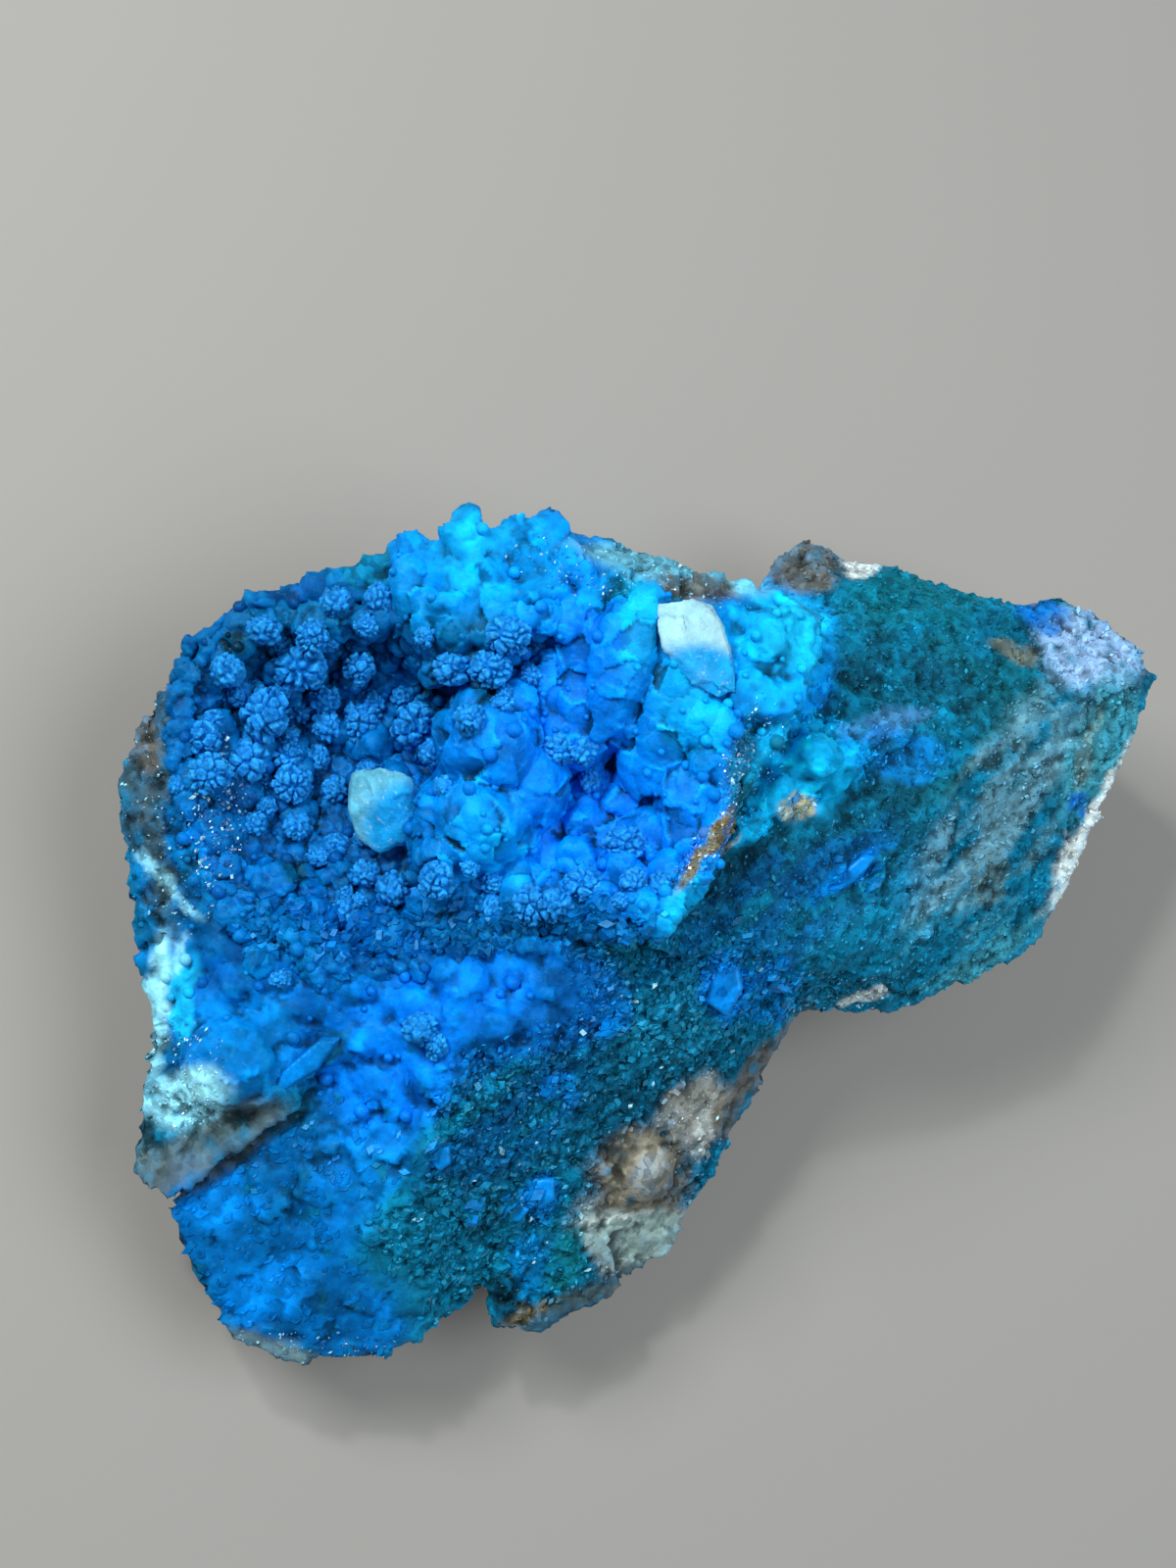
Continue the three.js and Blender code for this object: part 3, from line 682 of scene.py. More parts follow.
def outside_tint(points, normals):
    """Colours of the outside: druse and zones where it faces the view, and bare host rock elsewhere."""
    spots = wandering(points)
    patch = layered(points, 7.0, 4, 60)[:, None]
    streaks = layered(points @ STREAKS, 2.4, 4, 63)
    druse = mixed(TEAL, DEEP_TEAL, 0.5 * smooth_step(-0.3, 0.5, -patch))
    druse = painted(druse, STREAKED_ZONES, spots, smooth_step(-0.35, 0.2, streaks))
    front = painted(druse, OUTSIDE_ZONES, spots, smooth_step(-0.9, -0.1, layered(points, 1.6, 2, 68)))
    back = mixed(HOST, BROWN, smooth_step(-0.2, 0.4, patch))
    for colour, strength, span, channel, low, high in FAR_PATCHES:
        share = strength * smooth_step(low, high, layered(points, span, 3, channel))
        back = mixed(back, colour, share[:, None])
    facing = smooth_step(-0.4, 0.0, normals @ VIEW_BACK + 0.25 * layered(points, 3.0, 2, 77))
    return mixed(back, front, facing[:, None])


def hollow_tint(points, _normals):
    """Colours of the hollow, which are the same whichever way its faces turn."""
    return painted(np.tile(AZURE, (len(points), 1)), HOLLOW_ZONES, wandering(points))


def set_tint(obj, colours, graininess=1.0):
    """Keeps each vertex's colour, and how much the grains show in it, for the materials."""
    attribute = obj.data.attributes.new("tint", "FLOAT_COLOR", "POINT")
    colours = np.column_stack([np.clip(colours, 0, 1), np.broadcast_to(graininess, len(colours))])
    attribute.data.foreach_set("color", colours.astype(np.float32).ravel())


def smoothed(obj, values, rounds):
    """Values at the vertices, each averaged with its neighbours some times over."""
    edges = np.empty(len(obj.data.edges) * 2, dtype=np.int32)
    obj.data.edges.foreach_get("vertices", edges)
    a, b = edges.reshape(-1, 2).T
    count = np.bincount(a, minlength=len(values)) + np.bincount(b, minlength=len(values)) + 1.0
    for _ in range(rounds):
        sums = [np.bincount(a, v[b], len(v)) + np.bincount(b, v[a], len(v)) for v in values.T]
        values = (values + np.stack(sums, axis=1)) / count[:, None]
    return values


def crests(obj, rounds):
    """How far each vertex stands out of the shape around it: positive on crests, negative in creases."""
    points, normals = read(obj)
    return ((points - smoothed(obj, points, rounds)) * normals).sum(axis=1)


# Painted shade in creases and painted highlight on crests, toward BRIGHT: how strong each is at most
CREASE_SHADE = 0.75
CREST_LIGHT = 0.3


def with_painted_shade_and_highlight(colours, height, crease, crest):
    """Painted shade, darkest in creases deeper than `crease`, and painted highlight on crests up to `crest`
    high.
    """
    low = CREASE_SHADE * smooth_step(0, -crease, height)[:, None]
    high = CREST_LIGHT * smooth_step(0, crest, height)[:, None]
    return mixed(colours * (1 - low), (colours + BRIGHT) / 2, high)


# Pieces


# On the outside: what is smooth, what is made of flat faces, the druse, its far side, and bare rock among it
SMOOTH_ZONES = [
    [-25, -19, 21, 8], [-20, -28, 11, 6.5, 60], [-11, -21, 11, 6], [-8, 21.5, 10, 8], [17, 13, 8, 8],
    [21.6, 0.6, 6, 5, 20], [-34, 14, 14, 9], [-36.4, -27, 6, 6],
]
SHEET_ZONES = [[-32, -46, 14, 10, 60], [-38, -46, 9, 7, -60], [-28, -52, 12, 7, -16], [-22, -38, 6, 8, -30]]
CALM_ZONES = SMOOTH_ZONES + SHEET_ZONES
DRUSE_ZONES = [
    [33, 0, 27, 22], [6, -34, 18, 22, -30], [-9, -38, 12, 13, -30], [31, 18, 14, 6], [14, -20, 14, 14],
    [-18, -50, 8, 9],
]
SIDE_ZONES = [[34, 0, 26, 22], [31, 18, 14, 6]]
BARE_ZONES = [
    [11, -33.4, 4, 3, 50], [6, -46.4, 7, 4.6, -20], [5.4, -39.4, 4.4, 4.4], [17, -30, 9, 1.8, 52],
    [2, -53, 7, 2.2, 24], [-39.4, -37.6, 9.4, 2.7, 30],
]
FACET_SPAN = 3.4  # how wide the faces of broken rock are, millimetres
SMALL_FACET_SPAN = 1.3


def rock_lift(points, normals):
    """How far the rock's skin rises: hackly where it is broken, streaked in the druse, smooth in the blue."""
    spots = in_view(points)
    facing = smooth_step(0.0, 0.35, normals @ VIEW_BACK)
    smooth = cover(spots, SMOOTH_ZONES) * facing
    sheet = cover(spots, SHEET_ZONES) * facing * (1 - smooth)
    covered = 1 - cover(spots, BARE_ZONES)
    streaked = cover(spots, DRUSE_ZONES) * facing * (1 - smooth) * (1 - sheet) * covered
    bare = cover(spots, BARE_ZONES) * facing
    broken = (1 - smooth) * (1 - 0.7 * streaked) * (1 - sheet) * (1 - 0.6 * bare)
    shaken = points + 0.6 * noise(points, 2.0, 5)[:, None]
    depth, number, slant = grains(shaken, FACET_SPAN, 20)
    _, fine_number, fine_slant = grains(points, SMALL_FACET_SPAN, 34)
    lift = (1 - smooth) * (0.45 * layered(points, 5.0, 3, 3) - 0.2)
    lift += broken * (0.5 * (number - 0.6) * smooth_step(0.02, 0.2, depth) + 0.25 * slant)
    lift += broken * (0.2 * (fine_number - 0.6) + 0.3 * fine_slant)
    lift += sheet * (0.22 * slant + 0.14 * (number - 0.5) + 0.05 * fine_slant)
    side = cover(spots, SIDE_ZONES)
    lift += streaked * (0.5 - 0.2 * side) * layered(points @ STREAKS, 3.0, 3, 63)
    lift += streaked * (0.36 - 0.22 * side) * (fine_slant + 0.4 * (fine_number - 0.6))
    lift += smooth * (0.12 * layered(points, 1.6, 2, 9) + 0.16 * slant + 0.2 * fine_slant)
    return lift * smooth_step(0.0, 1.2, points[:, 2])


BROAD_FACET_SPAN = 3.0


def broad_facets(points):
    """The number and the slanting height of the broad facet at each point."""
    shaken = points + 0.4 * noise(points, 1.6, 15)[:, None]
    _, number, slant = grains(shaken, BROAD_FACET_SPAN, 40)
    return number, slant


def painted_facet_light(points, zones):
    """Painted light and shade: how bright each facet inside the zones is."""
    number, slant = broad_facets(points)
    return (1 + cover(in_view(points), zones) * (0.5 * (number - 0.5) + 0.2 * slant))[:, None]


BEHIND_CRUST = 0.6  # rock this close to the lining is hidden by it, millimetres
CREST_ROUNDS = 12  # rounds of averaging that show which places stand out
# rounds that find the broad hollows of the lining, which get painted shade
WIDE_ROUNDS = 60
NORMAL_ROUNDS = 24


def relaxed(obj, zones, rounds):
    """Melts the skin's creases inside the zones."""
    points, _ = read(obj)
    share = cover(in_view(points), zones)[:, None]
    write(obj, points * (1 - share) + smoothed(obj, points, rounds) * share)


def make_rock(cad):
    parts = [node_part("rock")]
    parts += listed_balls(SOLID_ROCK_BALLS, cad, SINK_ON_SOLID_BALL) + listed_balls(ROCK_BALLS, cad, SINK)
    parts += listed_balls(BROAD_DOMES, cad, SINK_OF_DOME) + listed_balls(OUTER_LUMP, cad, SINK_OF_LUMP)
    parts += filling("rock", ROCK_FILL, DOME_ZONES, ROCK_TRIES)
    rock = remeshed("host_rock", parts, ROCK_VOXEL)
    points, normals = read(rock)
    unseen = (normals @ VIEW_BACK < 0) | hidden_by("vug_crust", points, BEHIND_CRUST)
    rock = thinned(rock, unseen, ROCK_FACES)
    relaxed(rock, SMOOTH_ZONES, 2)
    points, normals = read(rock)
    write(rock, beneath_top(points + normals * rock_lift(points, normals)[:, None]))
    points, normals = read(rock)
    tint = outside_tint(points, smoothed(rock, normals, NORMAL_ROUNDS)) * painted_facet_light(points, CALM_ZONES)
    calm = cover(in_view(points), CALM_ZONES)
    # Painted shade and highlight from how far each place stands out, weaker in the calm zones
    height = crests(rock, CREST_ROUNDS) * (1 - 0.5 * calm)
    set_tint(rock, with_painted_shade_and_highlight(tint, height, 0.25, 0.3), 1 - 0.6 * calm)
    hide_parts("rock")
    return rock


# Where the hollow's lining is gel-like: the blue mass, the east wall and the knob
GEL_ZONES = [[-9, 0, 9, 11], [6, 6, 12, 15], [-12, 18, 9, 7]]


def crust_lift(points):
    """How far the lining's skin rises or sinks: broad flat faces on the gel, fine ones elsewhere."""
    gel = cover(in_view(points), GEL_ZONES)
    number, slant = broad_facets(points)
    _, _, fine_slant = grains(points, 1.1, 56)
    lift = 0.35 + 0.2 * layered(points, 3.2, 2, 13) + 0.25 * (1 - 0.3 * gel) * (slant + number - 0.5)
    return lift + (1 - 0.6 * gel) * (0.32 * fine_slant + 0.08 * layered(points, 0.9, 2, 17))


def make_crust(cad):
    parts = [node_part("vug_crust")] + listed_leaves(CRUST_LEAVES, cad)
    parts += listed_balls(SOLID_CRUST_BALLS, cad, SINK_ON_SOLID_BALL) + listed_balls(CRUST_BALLS, cad, SINK)
    parts += filling("vug_crust", CRUST_FILL, LEAF_ZONES, CRUST_TRIES)
    crust = remeshed("vug_lining", parts, CRUST_VOXEL)
    crust = thinned(crust, read(crust)[1] @ VIEW_BACK < -0.1, CRUST_FACES)
    relaxed(crust, GEL_ZONES, 8)
    smooth_points, normals = read(crust)
    write(crust, beneath_top(smooth_points + normals * crust_lift(smooth_points)[:, None]))
    points, normals = read(crust)
    # Painted shade in creases and, from the wide rounds, over the lining's broad hollows; painted highlight
    # on crests
    height = crests(crust, CREST_ROUNDS) + 0.4 * crests(crust, WIDE_ROUNDS)
    tint = hollow_tint(points, normals) * painted_facet_light(smooth_points, GEL_ZONES)
    set_tint(crust, with_painted_shade_and_highlight(tint, height, 0.36, 0.35))
    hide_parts("vug_crust")
    return crust


# Crinkled rosettes: [right, up, radius]
ROSETTES = [
    [-28.4, 15.2, 1.8], [-29.5, 11.8, 2.8], [-31.2, 9.8, 1.3], [-23.6, 11.8, 1.8], [-22.6, 16.2, 1.2],
    [-26.9, 8.9, 1.6], [-29.1, 7.5, 1.5], [-26.7, 6.2, 1.6], [-33.4, 7.2, 2.6], [-34.9, 3.1, 2.3],
    [-39.1, 5.1, 1.9], [-38.3, 6.4, 1.1], [-30.7, 2.8, 1.8], [-29.7, 0.3, 2], [-29.9, -2, 1.5],
    [-27.2, 2.6, 1.4], [-35.7, 9.3, 1.3], [-33.9, 9.7, 1], [-23.2, 6.4, 2], [-29.5, -4.3, 1.3],
    [-8.2, 14.9, 2.1], [-9.8, 12, 1.9], [-13.8, 12, 2], [-17.4, 6.1, 2.4], [-17.2, 3.6, 1.3],
    [-18.8, 9, 1.2], [-3.3, 3.2, 1.8], [-0.4, 3.4, 1.3], [-8.8, 8, 1.2], [4, -6, 2], [2, -6, 1.7],
    [0.2, 0.2, 1.2], [-0.5, -10.5, 1.9], [-3.2, -12.6, 1.7], [-6.4, -12.4, 1.9], [-10.2, -12.4, 1.6],
    [-15.4, -9.4, 2], [-19.6, -10.6, 1.7], [-22.6, -9.2, 1.6], [-24.8, -13.6, 1.6], [-31.4, -20, 1],
    [-17.2, -25, 1.7], [-15.6, -26.4, 1.2], [-36.8, 12, 1.6], [-33.4, 15.4, 1.7], [-25.8, 18.4, 1.5],
    [-21.4, 19, 1.4], [-38.6, 0.8, 1.9],
]
ROSETTE_TRIES = 70
ROSETTE_AREAS = [[-28, 5, 15, 11], [-14, 12, 9, 5], [2, -9, 8, 5], [-14, -12, 12, 4]]
ROSETTE_SPACING = 0.72  # how close two may stand, as a share of their joint radii
LARGE_ROSETTE = 1.7  # those with a larger radius have finer faces, millimetres
LOBE_SHARE = 0.58  # how wide a rosette's lobes are, as a share of its radius
PETAL_SPAN = 0.42  # how wide the petals on its lobes are, millimetres
LOBE_SHIFT = 3.7  # moves each rosette to another part of the noise, so that no two have the same lobes


def rosette(centre, radius, detail):
    """A ball of flat-topped lobes with crinkled edges, and how pale each point of it is, from 0 to 1."""
    vertices, faces = unit_ball(detail)
    ball = vertices @ random_turn() * radius * rng.uniform(0.8, 1.1, 3)
    place = ball + centre * LOBE_SHIFT
    lobe_depth, lobe_number, _ = grains(place, LOBE_SHARE * radius, 90)
    petal_depth, petal_number, _ = grains(place, PETAL_SPAN, 104)
    lobe = smooth_step(0, 0.22, lobe_depth)
    petal = 0.5 * smooth_step(0, 0.3, petal_depth) + 0.5 * petal_number
    bump = (0.2 + 0.2 * lobe_number) * radius * lobe + 0.26 * petal - 0.25 * radius
    edge = 1 - smooth_step(0.1, 0.5, lobe_depth)
    # 0 in the slits between the lobes, which the tint darkens as painted shade
    pale = lobe * (0.3 + 0.3 * petal + 0.2 * lobe_number + 0.4 * edge)
    return centre + ball * (1 + bump / radius)[:, None], faces, pale


def make_rosettes(crust, surface):
    spots = [[*meets(surface, right, up), radius] for right, up, radius in ROSETTES]
    listed = [[place, normal, radius] for place, normal, radius in spots if place is not None]
    places, normals = scattered(crust, ROSETTE_TRIES, growing_in(ROSETTE_AREAS, -0.25))
    radii = rng.uniform(0.7, 1.5, ROSETTE_TRIES)
    every = listed + [list(entry) for entry in zip(places, normals, radii)]
    centres = np.array([place + normal * radius * 0.3 for place, normal, radius in every])
    sizes = np.array([radius for _, _, radius in every])
    kept = spread_out(centres, sizes, ROSETTE_SPACING)
    made = [rosette(centres[i], sizes[i], 5 if sizes[i] > LARGE_ROSETTE else 4) for i in kept]
    cluster = object_of("rosettes", *joined([(vertices, faces) for vertices, faces, _ in made]))
    points, normals = read(cluster)
    pale = np.concatenate([pales for _, _, pales in made])[:, None]
    tint = hollow_tint(points, normals) * 0.4 + ROYAL * 0.6
    # Darker where pale is low, in the slits between the lobes: painted shade; paler toward PETAL_BLUE on the
    # lobes, their edges and petals
    set_tint(cluster, tint * (0.66 + 0.4 * pale) + 0.8 * pale**2 * (PETAL_BLUE - tint))
    return cluster


BUD_TRIES = 300
BUD_SPACING = 0.9
BUD_AREAS = [ellipse for *_, ellipse in ROCK_FILL]


def make_buds(crust, rock):
    """Small round buds over the hollow and the blue lumps beside it."""
    ball, ball_faces = unit_ball(2)
    parts, tints = [], []
    for source, weigh, tint, count in [
        (crust, lambda _places, normals: normals @ VIEW_BACK > -0.2, hollow_tint, BUD_TRIES),
        (rock, growing_in(BUD_AREAS, 0.4), outside_tint, BUD_TRIES // 2),
    ]:
        places, normals = scattered(source, count, weigh)
        radii = 0.3 + 0.6 * rng.random(count) ** 2
        kept = spread_out(places, radii, BUD_SPACING)
        parts += [(places[i] + normals[i] * radii[i] * 0.3 + ball * radii[i], ball_faces) for i in kept]
        tints.append(np.repeat(tint(places[kept], VIEW_BACK), len(ball), axis=0))
    buds = object_of("buds", *joined(parts))
    set_tint(buds, np.concatenate(tints))
    return buds


PLATE_SIDES = 4


def plate():
    """A flat crystal one wide, one long and one thick, with its corners bevelled in at the top."""
    angles = np.arange(PLATE_SIDES) * 2 * math.pi / PLATE_SIDES
    ring = np.stack([np.cos(angles), np.sin(angles)], axis=1) / 2
    low = np.column_stack([ring, np.full(PLATE_SIDES, -0.5)])
    high = np.column_stack([ring * 0.8, np.full(PLATE_SIDES, 0.5)])
    vertices = np.concatenate([low, high])
    faces = [[0, k + 1, k] for k in range(1, PLATE_SIDES - 1)]
    faces += [[PLATE_SIDES, PLATE_SIDES + k, PLATE_SIDES + k + 1] for k in range(1, PLATE_SIDES - 1)]
    for k in range(PLATE_SIDES):
        after = (k + 1) % PLATE_SIDES
        faces += [[k, after, PLATE_SIDES + after], [k, PLATE_SIDES + after, PLATE_SIDES + k]]
    return vertices, np.array(faces)


def plates_on(places, normals, sizes, way, sway, tilt):
    """Crystals that lie along `way` on the surface, give or take `sway`, and lean off it by `tilt`."""
    count = len(places)
    along = unit(way - normals * (normals @ way)[:, None])
    across = np.cross(normals, along)
    angle = rng.normal(0, sway, count)[:, None]
    c, s = np.cos(angle), np.sin(angle)
    along, across = along * c + across * s, across * c - along * s
    lean = rng.normal(0, tilt, (count, 2, 1))
    out = unit(normals + along * lean[:, 0] + across * lean[:, 1])
    across = unit(np.cross(out, along))
    along = np.cross(across, out)
    vertices, faces = plate()
    axes = np.stack([across, along, out], axis=1)
    placed = np.einsum("vk,nk,nkj->nvj", vertices, sizes, axes) + places[:, None]
    starts = np.arange(count)[:, None, None] * len(vertices)
    return placed.reshape(-1, 3), (faces + starts).reshape(-1, 3)


# Where sheets of small crystals grow, besides the druse
COARSE_ZONES = [[-6, -24, 14, 6, 45], [-11, -40, 7, 13, -30], [10, -21, 11, 7]]
RIM_ZONES = [[12, -6.6, 5, 1.4, 52], [16.6, 3, 2.4, 6.6, -14]]
LIP_ZONES = [[-8, -14.4, 14, 3, 4], [-25, -15, 12, 3]]
GLITTER_ZONES = [
    [-41, -3, 6, 12], [-45, 4, 4, 6], [17, 2, 3, 7, -14], [12, -7, 4, 1, 50], [4, 21, 12, 3, -12],
    [11, -35, 3, 4, -20], [-30, -58, 12, 2], [-41, -30, 4, 6], [26, -22, 6, 2, 16],
]
CREAM_ZONES = [[21.4, -2.2, 2, 1, 24]]
WEST_ZONES = [[-38.6, -4, 3.4, 8, -10]]

# The sheets: how many crystals, their smallest and largest size in millimetres, how far they tilt, how uneven
# their brightness is, where they grow, where they are left out, and what share is painted a pale glint colour
DRUSE_SHEETS = [
    dict(
        name="side_druse", count=9000, sizes=[0.2, 0.7], tilt=0.25, contrast=0.26,
        zones=SIDE_ZONES, avoided=SMOOTH_ZONES,
    ),
    dict(
        name="druse", count=11000, sizes=[0.2, 1.0], tilt=0.3, contrast=0.32, painted_glint_share=0.01,
        zones=DRUSE_ZONES, avoided=SMOOTH_ZONES + SIDE_ZONES + SHEET_ZONES + BARE_ZONES,
    ),
    dict(
        name="coarse_druse", count=2200, sizes=[0.5, 1.4], tilt=0.2, contrast=0.3,
        zones=COARSE_ZONES, avoided=SMOOTH_ZONES + SHEET_ZONES + BARE_ZONES,
    ),
    dict(
        name="sheet_faces", count=300, sizes=[0.6, 1.6], tilt=0.05, contrast=0.06,
        zones=SHEET_ZONES, avoided=BARE_ZONES, thickest=0.3, facing=0.9,
    ),
    dict(
        name="cream_crystals", count=160, sizes=[0.4, 1.3], tilt=0.5, contrast=0.2, painted_glint_share=0.1,
        zones=CREAM_ZONES,
    ),
]
ROCK_GLITTER = dict(
    name="glitter", count=3200, sizes=[0.15, 0.5], tilt=0.5, contrast=0.3, zones=GLITTER_ZONES, painted_glint_share=0.16
)
HOLLOW_GLITTER = [
    dict(
        name="rim_crystals", count=1100, sizes=[0.2, 0.6], tilt=0.5, contrast=0.3, painted_glint_share=0.06,
        zones=RIM_ZONES,
    ),
    dict(
        name="west_glitter", count=500, sizes=[0.2, 0.7], tilt=0.6, contrast=0.2, painted_glint_share=0.3,
        zones=WEST_ZONES,
    ),
]
LIP_SHEET = dict(name="lip_crystals", count=700, sizes=[0.5, 2.2], tilt=0.4, contrast=0.2, zones=LIP_ZONES)
SMALL_ONES = 2.5  # a higher power makes more of a sheet's crystals small


def crystal_sheet(
    source, tint_of, name, count, sizes, tilt, contrast, zones, avoided=(), painted_glint_share=0, thickest=0.6, facing=0.05
):
    """Small flat crystals over the zones of the source, each nearly of the colour that it has there."""
    places, normals = scattered(source, count, growing_in(zones, facing, avoided))
    size = sizes[0] + (sizes[1] - sizes[0]) * rng.random(count) ** SMALL_ONES
    thickness = np.minimum(size * rng.uniform(0.3, 0.7, count), thickest)
    width = size * rng.uniform(0.5, 0.9, count)
    length = size * rng.uniform(1.0, 1.6, count)
    shapes = np.column_stack([width, length, thickness])
    sheet = object_of(name, *plates_on(places, normals, shapes, STREAK_WAY, 0.6, tilt), smooth=False)
    brightness = np.exp(rng.normal(0, contrast, count))[:, None]
    paler = np.clip(brightness - 1.1, 0, 1) * 0.4
    tint = mixed(tint_of(places, VIEW_BACK) * brightness, CRYSTAL_BLUE, paler)
    # Painted highlight: a share of the crystals takes the pale glint colour
    tint = np.where(rng.random((count, 1)) < painted_glint_share, PAINTED_GLINT, tint)
    set_tint(sheet, np.repeat(tint, PLATE_SIDES * 2, axis=0))
    return sheet


# Larger flat crystals in the druse that the solids have too: [right, up, width, length]
BLADES = [
    [-11.6, -43.4, 2.6, 4.4], [-8.4, -43, 2.2, 3.6], [-5.8, -42, 2.2, 3.4], [21, -1.4, 1.6, 2.6],
    [29, -10, 2, 5], [25.5, -9, 1.6, 3.4], [13.8, -20.4, 2.4, 5.4], [19.4, -22, 2.4, 4.2],
    [2, -25, 1.8, 3.4], [-4, -31, 1.8, 3.2], [-16, -37.4, 1.8, 3.4],
]
BUNDLE = 4  # how many crystals stand in for each


def make_blades(surface):
    """Bundles of thin blue crystals over the solids' larger ones."""
    places, normals, sizes = [], [], []
    for right, up, width, length in BLADES:
        place, _ = meets(surface, right, up)
        if place is None:
            continue
        for _ in range(BUNDLE):
            shift = rng.normal(0, 0.22, 2) * [width, length]
            spot, facing = meets(surface, right + shift[0], up + shift[1])
            if spot is not None and np.linalg.norm(spot - place) < length:
                places.append(spot)
                normals.append(facing)
                wide, long = rng.uniform(0.4, 0.8), rng.uniform(0.4, 0.8)
                sizes.append([width * wide, length * long, rng.uniform(0.5, 0.9)])
    places, normals, sizes = np.array(places), np.array(normals), np.array(sizes)
    blades = object_of("blue_blades", *plates_on(places, normals, sizes, STREAK_WAY, 0.3, 0.08), smooth=False)
    shade = rng.uniform(0.6, 1, (len(places), 1)) * mixed(outside_tint(places, VIEW_BACK), AZURE, 0.5)
    set_tint(blades, np.repeat(shade, PLATE_SIDES * 2, axis=0))
    return blades


# Pale blocks: middle [right, up], and corners as [right, up, back] from there
PALE_BLOCKS = [
    {
        "at": [-20.4, -2.3],
        "corners": [
            [-4.4, 2.6, -1], [-3.6, 3.8, 2], [-0.6, 4.4, 3.2], [2.4, 3.4, 3], [4.2, 1.2, 1], [4.2, -2, 0.6],
            [2.8, -4, 1], [-0.8, -5, 1.8], [-3.4, -3.6, 1], [-4, -0.6, 2.4], [0.4, 0.8, 4.2],
            [1.8, -2.4, 2.8], [0, 0, -3],
        ],
    },
    {
        "at": [10.8, 14.4],
        "corners": [
            [-3.8, 4.2, 1], [-0.6, 4.8, 1.6], [2.4, 4.2, 1.4], [3.6, 2, 1.6], [4.4, -0.6, 1.6],
            [4.6, -5.4, 1], [2.2, -5.8, 1], [-1.4, -3.8, 1.4], [-3.4, -0.6, 1.6], [-4, 2, 1.6],
            [0.2, 0.2, 2.6], [2.4, -2.6, 2.4], [0, 0, -2.5],
        ],
    },
]
BLOCK_GRAINS = 2.4
BLOCK_FEET = [[-17.6, -5, 5, 5.4, 20], [12.4, 9.4, 6, 4.4, -30]]
WHITE_BLOCK = [[10.4, 15, 5, 6]]
# Large azure crystals in the druse: [right, up, half width, half length, thickness, turn]
AZURE_SLABS = [
    [13.9, -20.6, 2.1, 3.6, 0.9, -8], [-4.6, -41.6, 1.5, 2.1, 0.6, -30], [-7.4, -43.6, 1.2, 1.7, 0.5, -60],
    [27, -9, 1, 3.6, 0.5, -50], [-15, -38, 1.3, 1.6, 0.5, -20], [-28.7, -28.5, 1.3, 4.8, 1.3, -48],
]
SLAB_SIDES = 5
SLAB_BEVEL = 0.85  # how wide a slab's top is, as a share of its foot
BLOCK_DEPTH = 0.9  # how deep blocks and slabs sit in what carries them, millimetres


def slab_corners(width, length, thickness, turn):
    """Corners of a slab whose upper edges are bevelled, as [right, up, back]."""
    angles = np.arange(SLAB_SIDES) * 2 * math.pi / SLAB_SIDES + rng.uniform(-0.2, 0.2, SLAB_SIDES)
    ring = np.stack([np.cos(angles) * width, np.sin(angles) * length], axis=1)
    c, s = math.cos(math.radians(turn)), math.sin(math.radians(turn))
    ring = ring @ np.array([[c, s], [-s, c]])
    low = np.column_stack([ring, np.full(SLAB_SIDES, -1.0)])
    middle = np.column_stack([ring, rng.uniform(0.3, 0.7, SLAB_SIDES) * thickness + BLOCK_DEPTH])
    top = rng.uniform(0.8, 1.2, SLAB_SIDES) * thickness + BLOCK_DEPTH
    high = np.column_stack([ring * SLAB_BEVEL, top])
    return np.concatenate([low, middle, high])


def block_part(surface, at, corners):
    """The closed hull of corners around the place where a sight line meets the surface."""
    place, _ = meets(surface, *at)
    shape = bmesh.new()
    axes = np.stack([VIEW_RIGHT, VIEW_UP, VIEW_BACK])
    for corner in corners:
        shape.verts.new(place + np.array(corner) @ axes - VIEW_BACK * BLOCK_DEPTH)
    bmesh.ops.convex_hull(shape, input=shape.verts)
    bmesh.ops.triangulate(shape, faces=shape.faces)
    loose = [v for v in shape.verts if not v.link_faces]
    bmesh.ops.delete(shape, geom=loose, context="VERTS")
    shape.verts.index_update()
    bmesh.ops.recalc_face_normals(shape, faces=shape.faces)
    return arrays_of(shape)


def make_blocks(surface):
    parts = [block_part(surface, **block) for block in PALE_BLOCKS]
    blocks = remeshed("pale_blocks", parts, BLOCK_VOXEL)
    points, normals = read(blocks)
    points = smoothed(blocks, points, 8)
    _, number, slant = grains(points, BLOCK_GRAINS, 120)
    lift = 0.18 * layered(points, 2.0, 3, 123) + 0.05 * (number - 0.5) + 0.12 * slant
    write(blocks, points + normals * lift[:, None])
    points, _ = read(blocks)
    spots = in_view(points)
    foot = smooth_step(-0.1, 1.1, cover(spots, BLOCK_FEET) + 0.2 * layered(points, 2.4, 3, 126))
    pale = mixed(BLOCK_BLUE, BLOCK_WHITE, cover(spots, WHITE_BLOCK)[:, None])
    set_tint(blocks, mixed(pale, BLOCK_FOOT, foot[:, None]))
    return blocks


def make_slabs(surface):
    parts = [block_part(surface, [right, up], slab_corners(*shape)) for right, up, *shape in AZURE_SLABS]
    slabs = remeshed("azure_slabs", parts, BLOCK_VOXEL)
    write(slabs, smoothed(slabs, read(slabs)[0], 1))
    points, _ = read(slabs)
    number = grains(points, 1.6, 140)[1]
    tint = mixed(outside_tint(points, VIEW_BACK), AZURE, 0.5)
    set_tint(slabs, tint * (0.75 + 0.4 * number)[:, None], 0.5)
    return slabs


# Materials


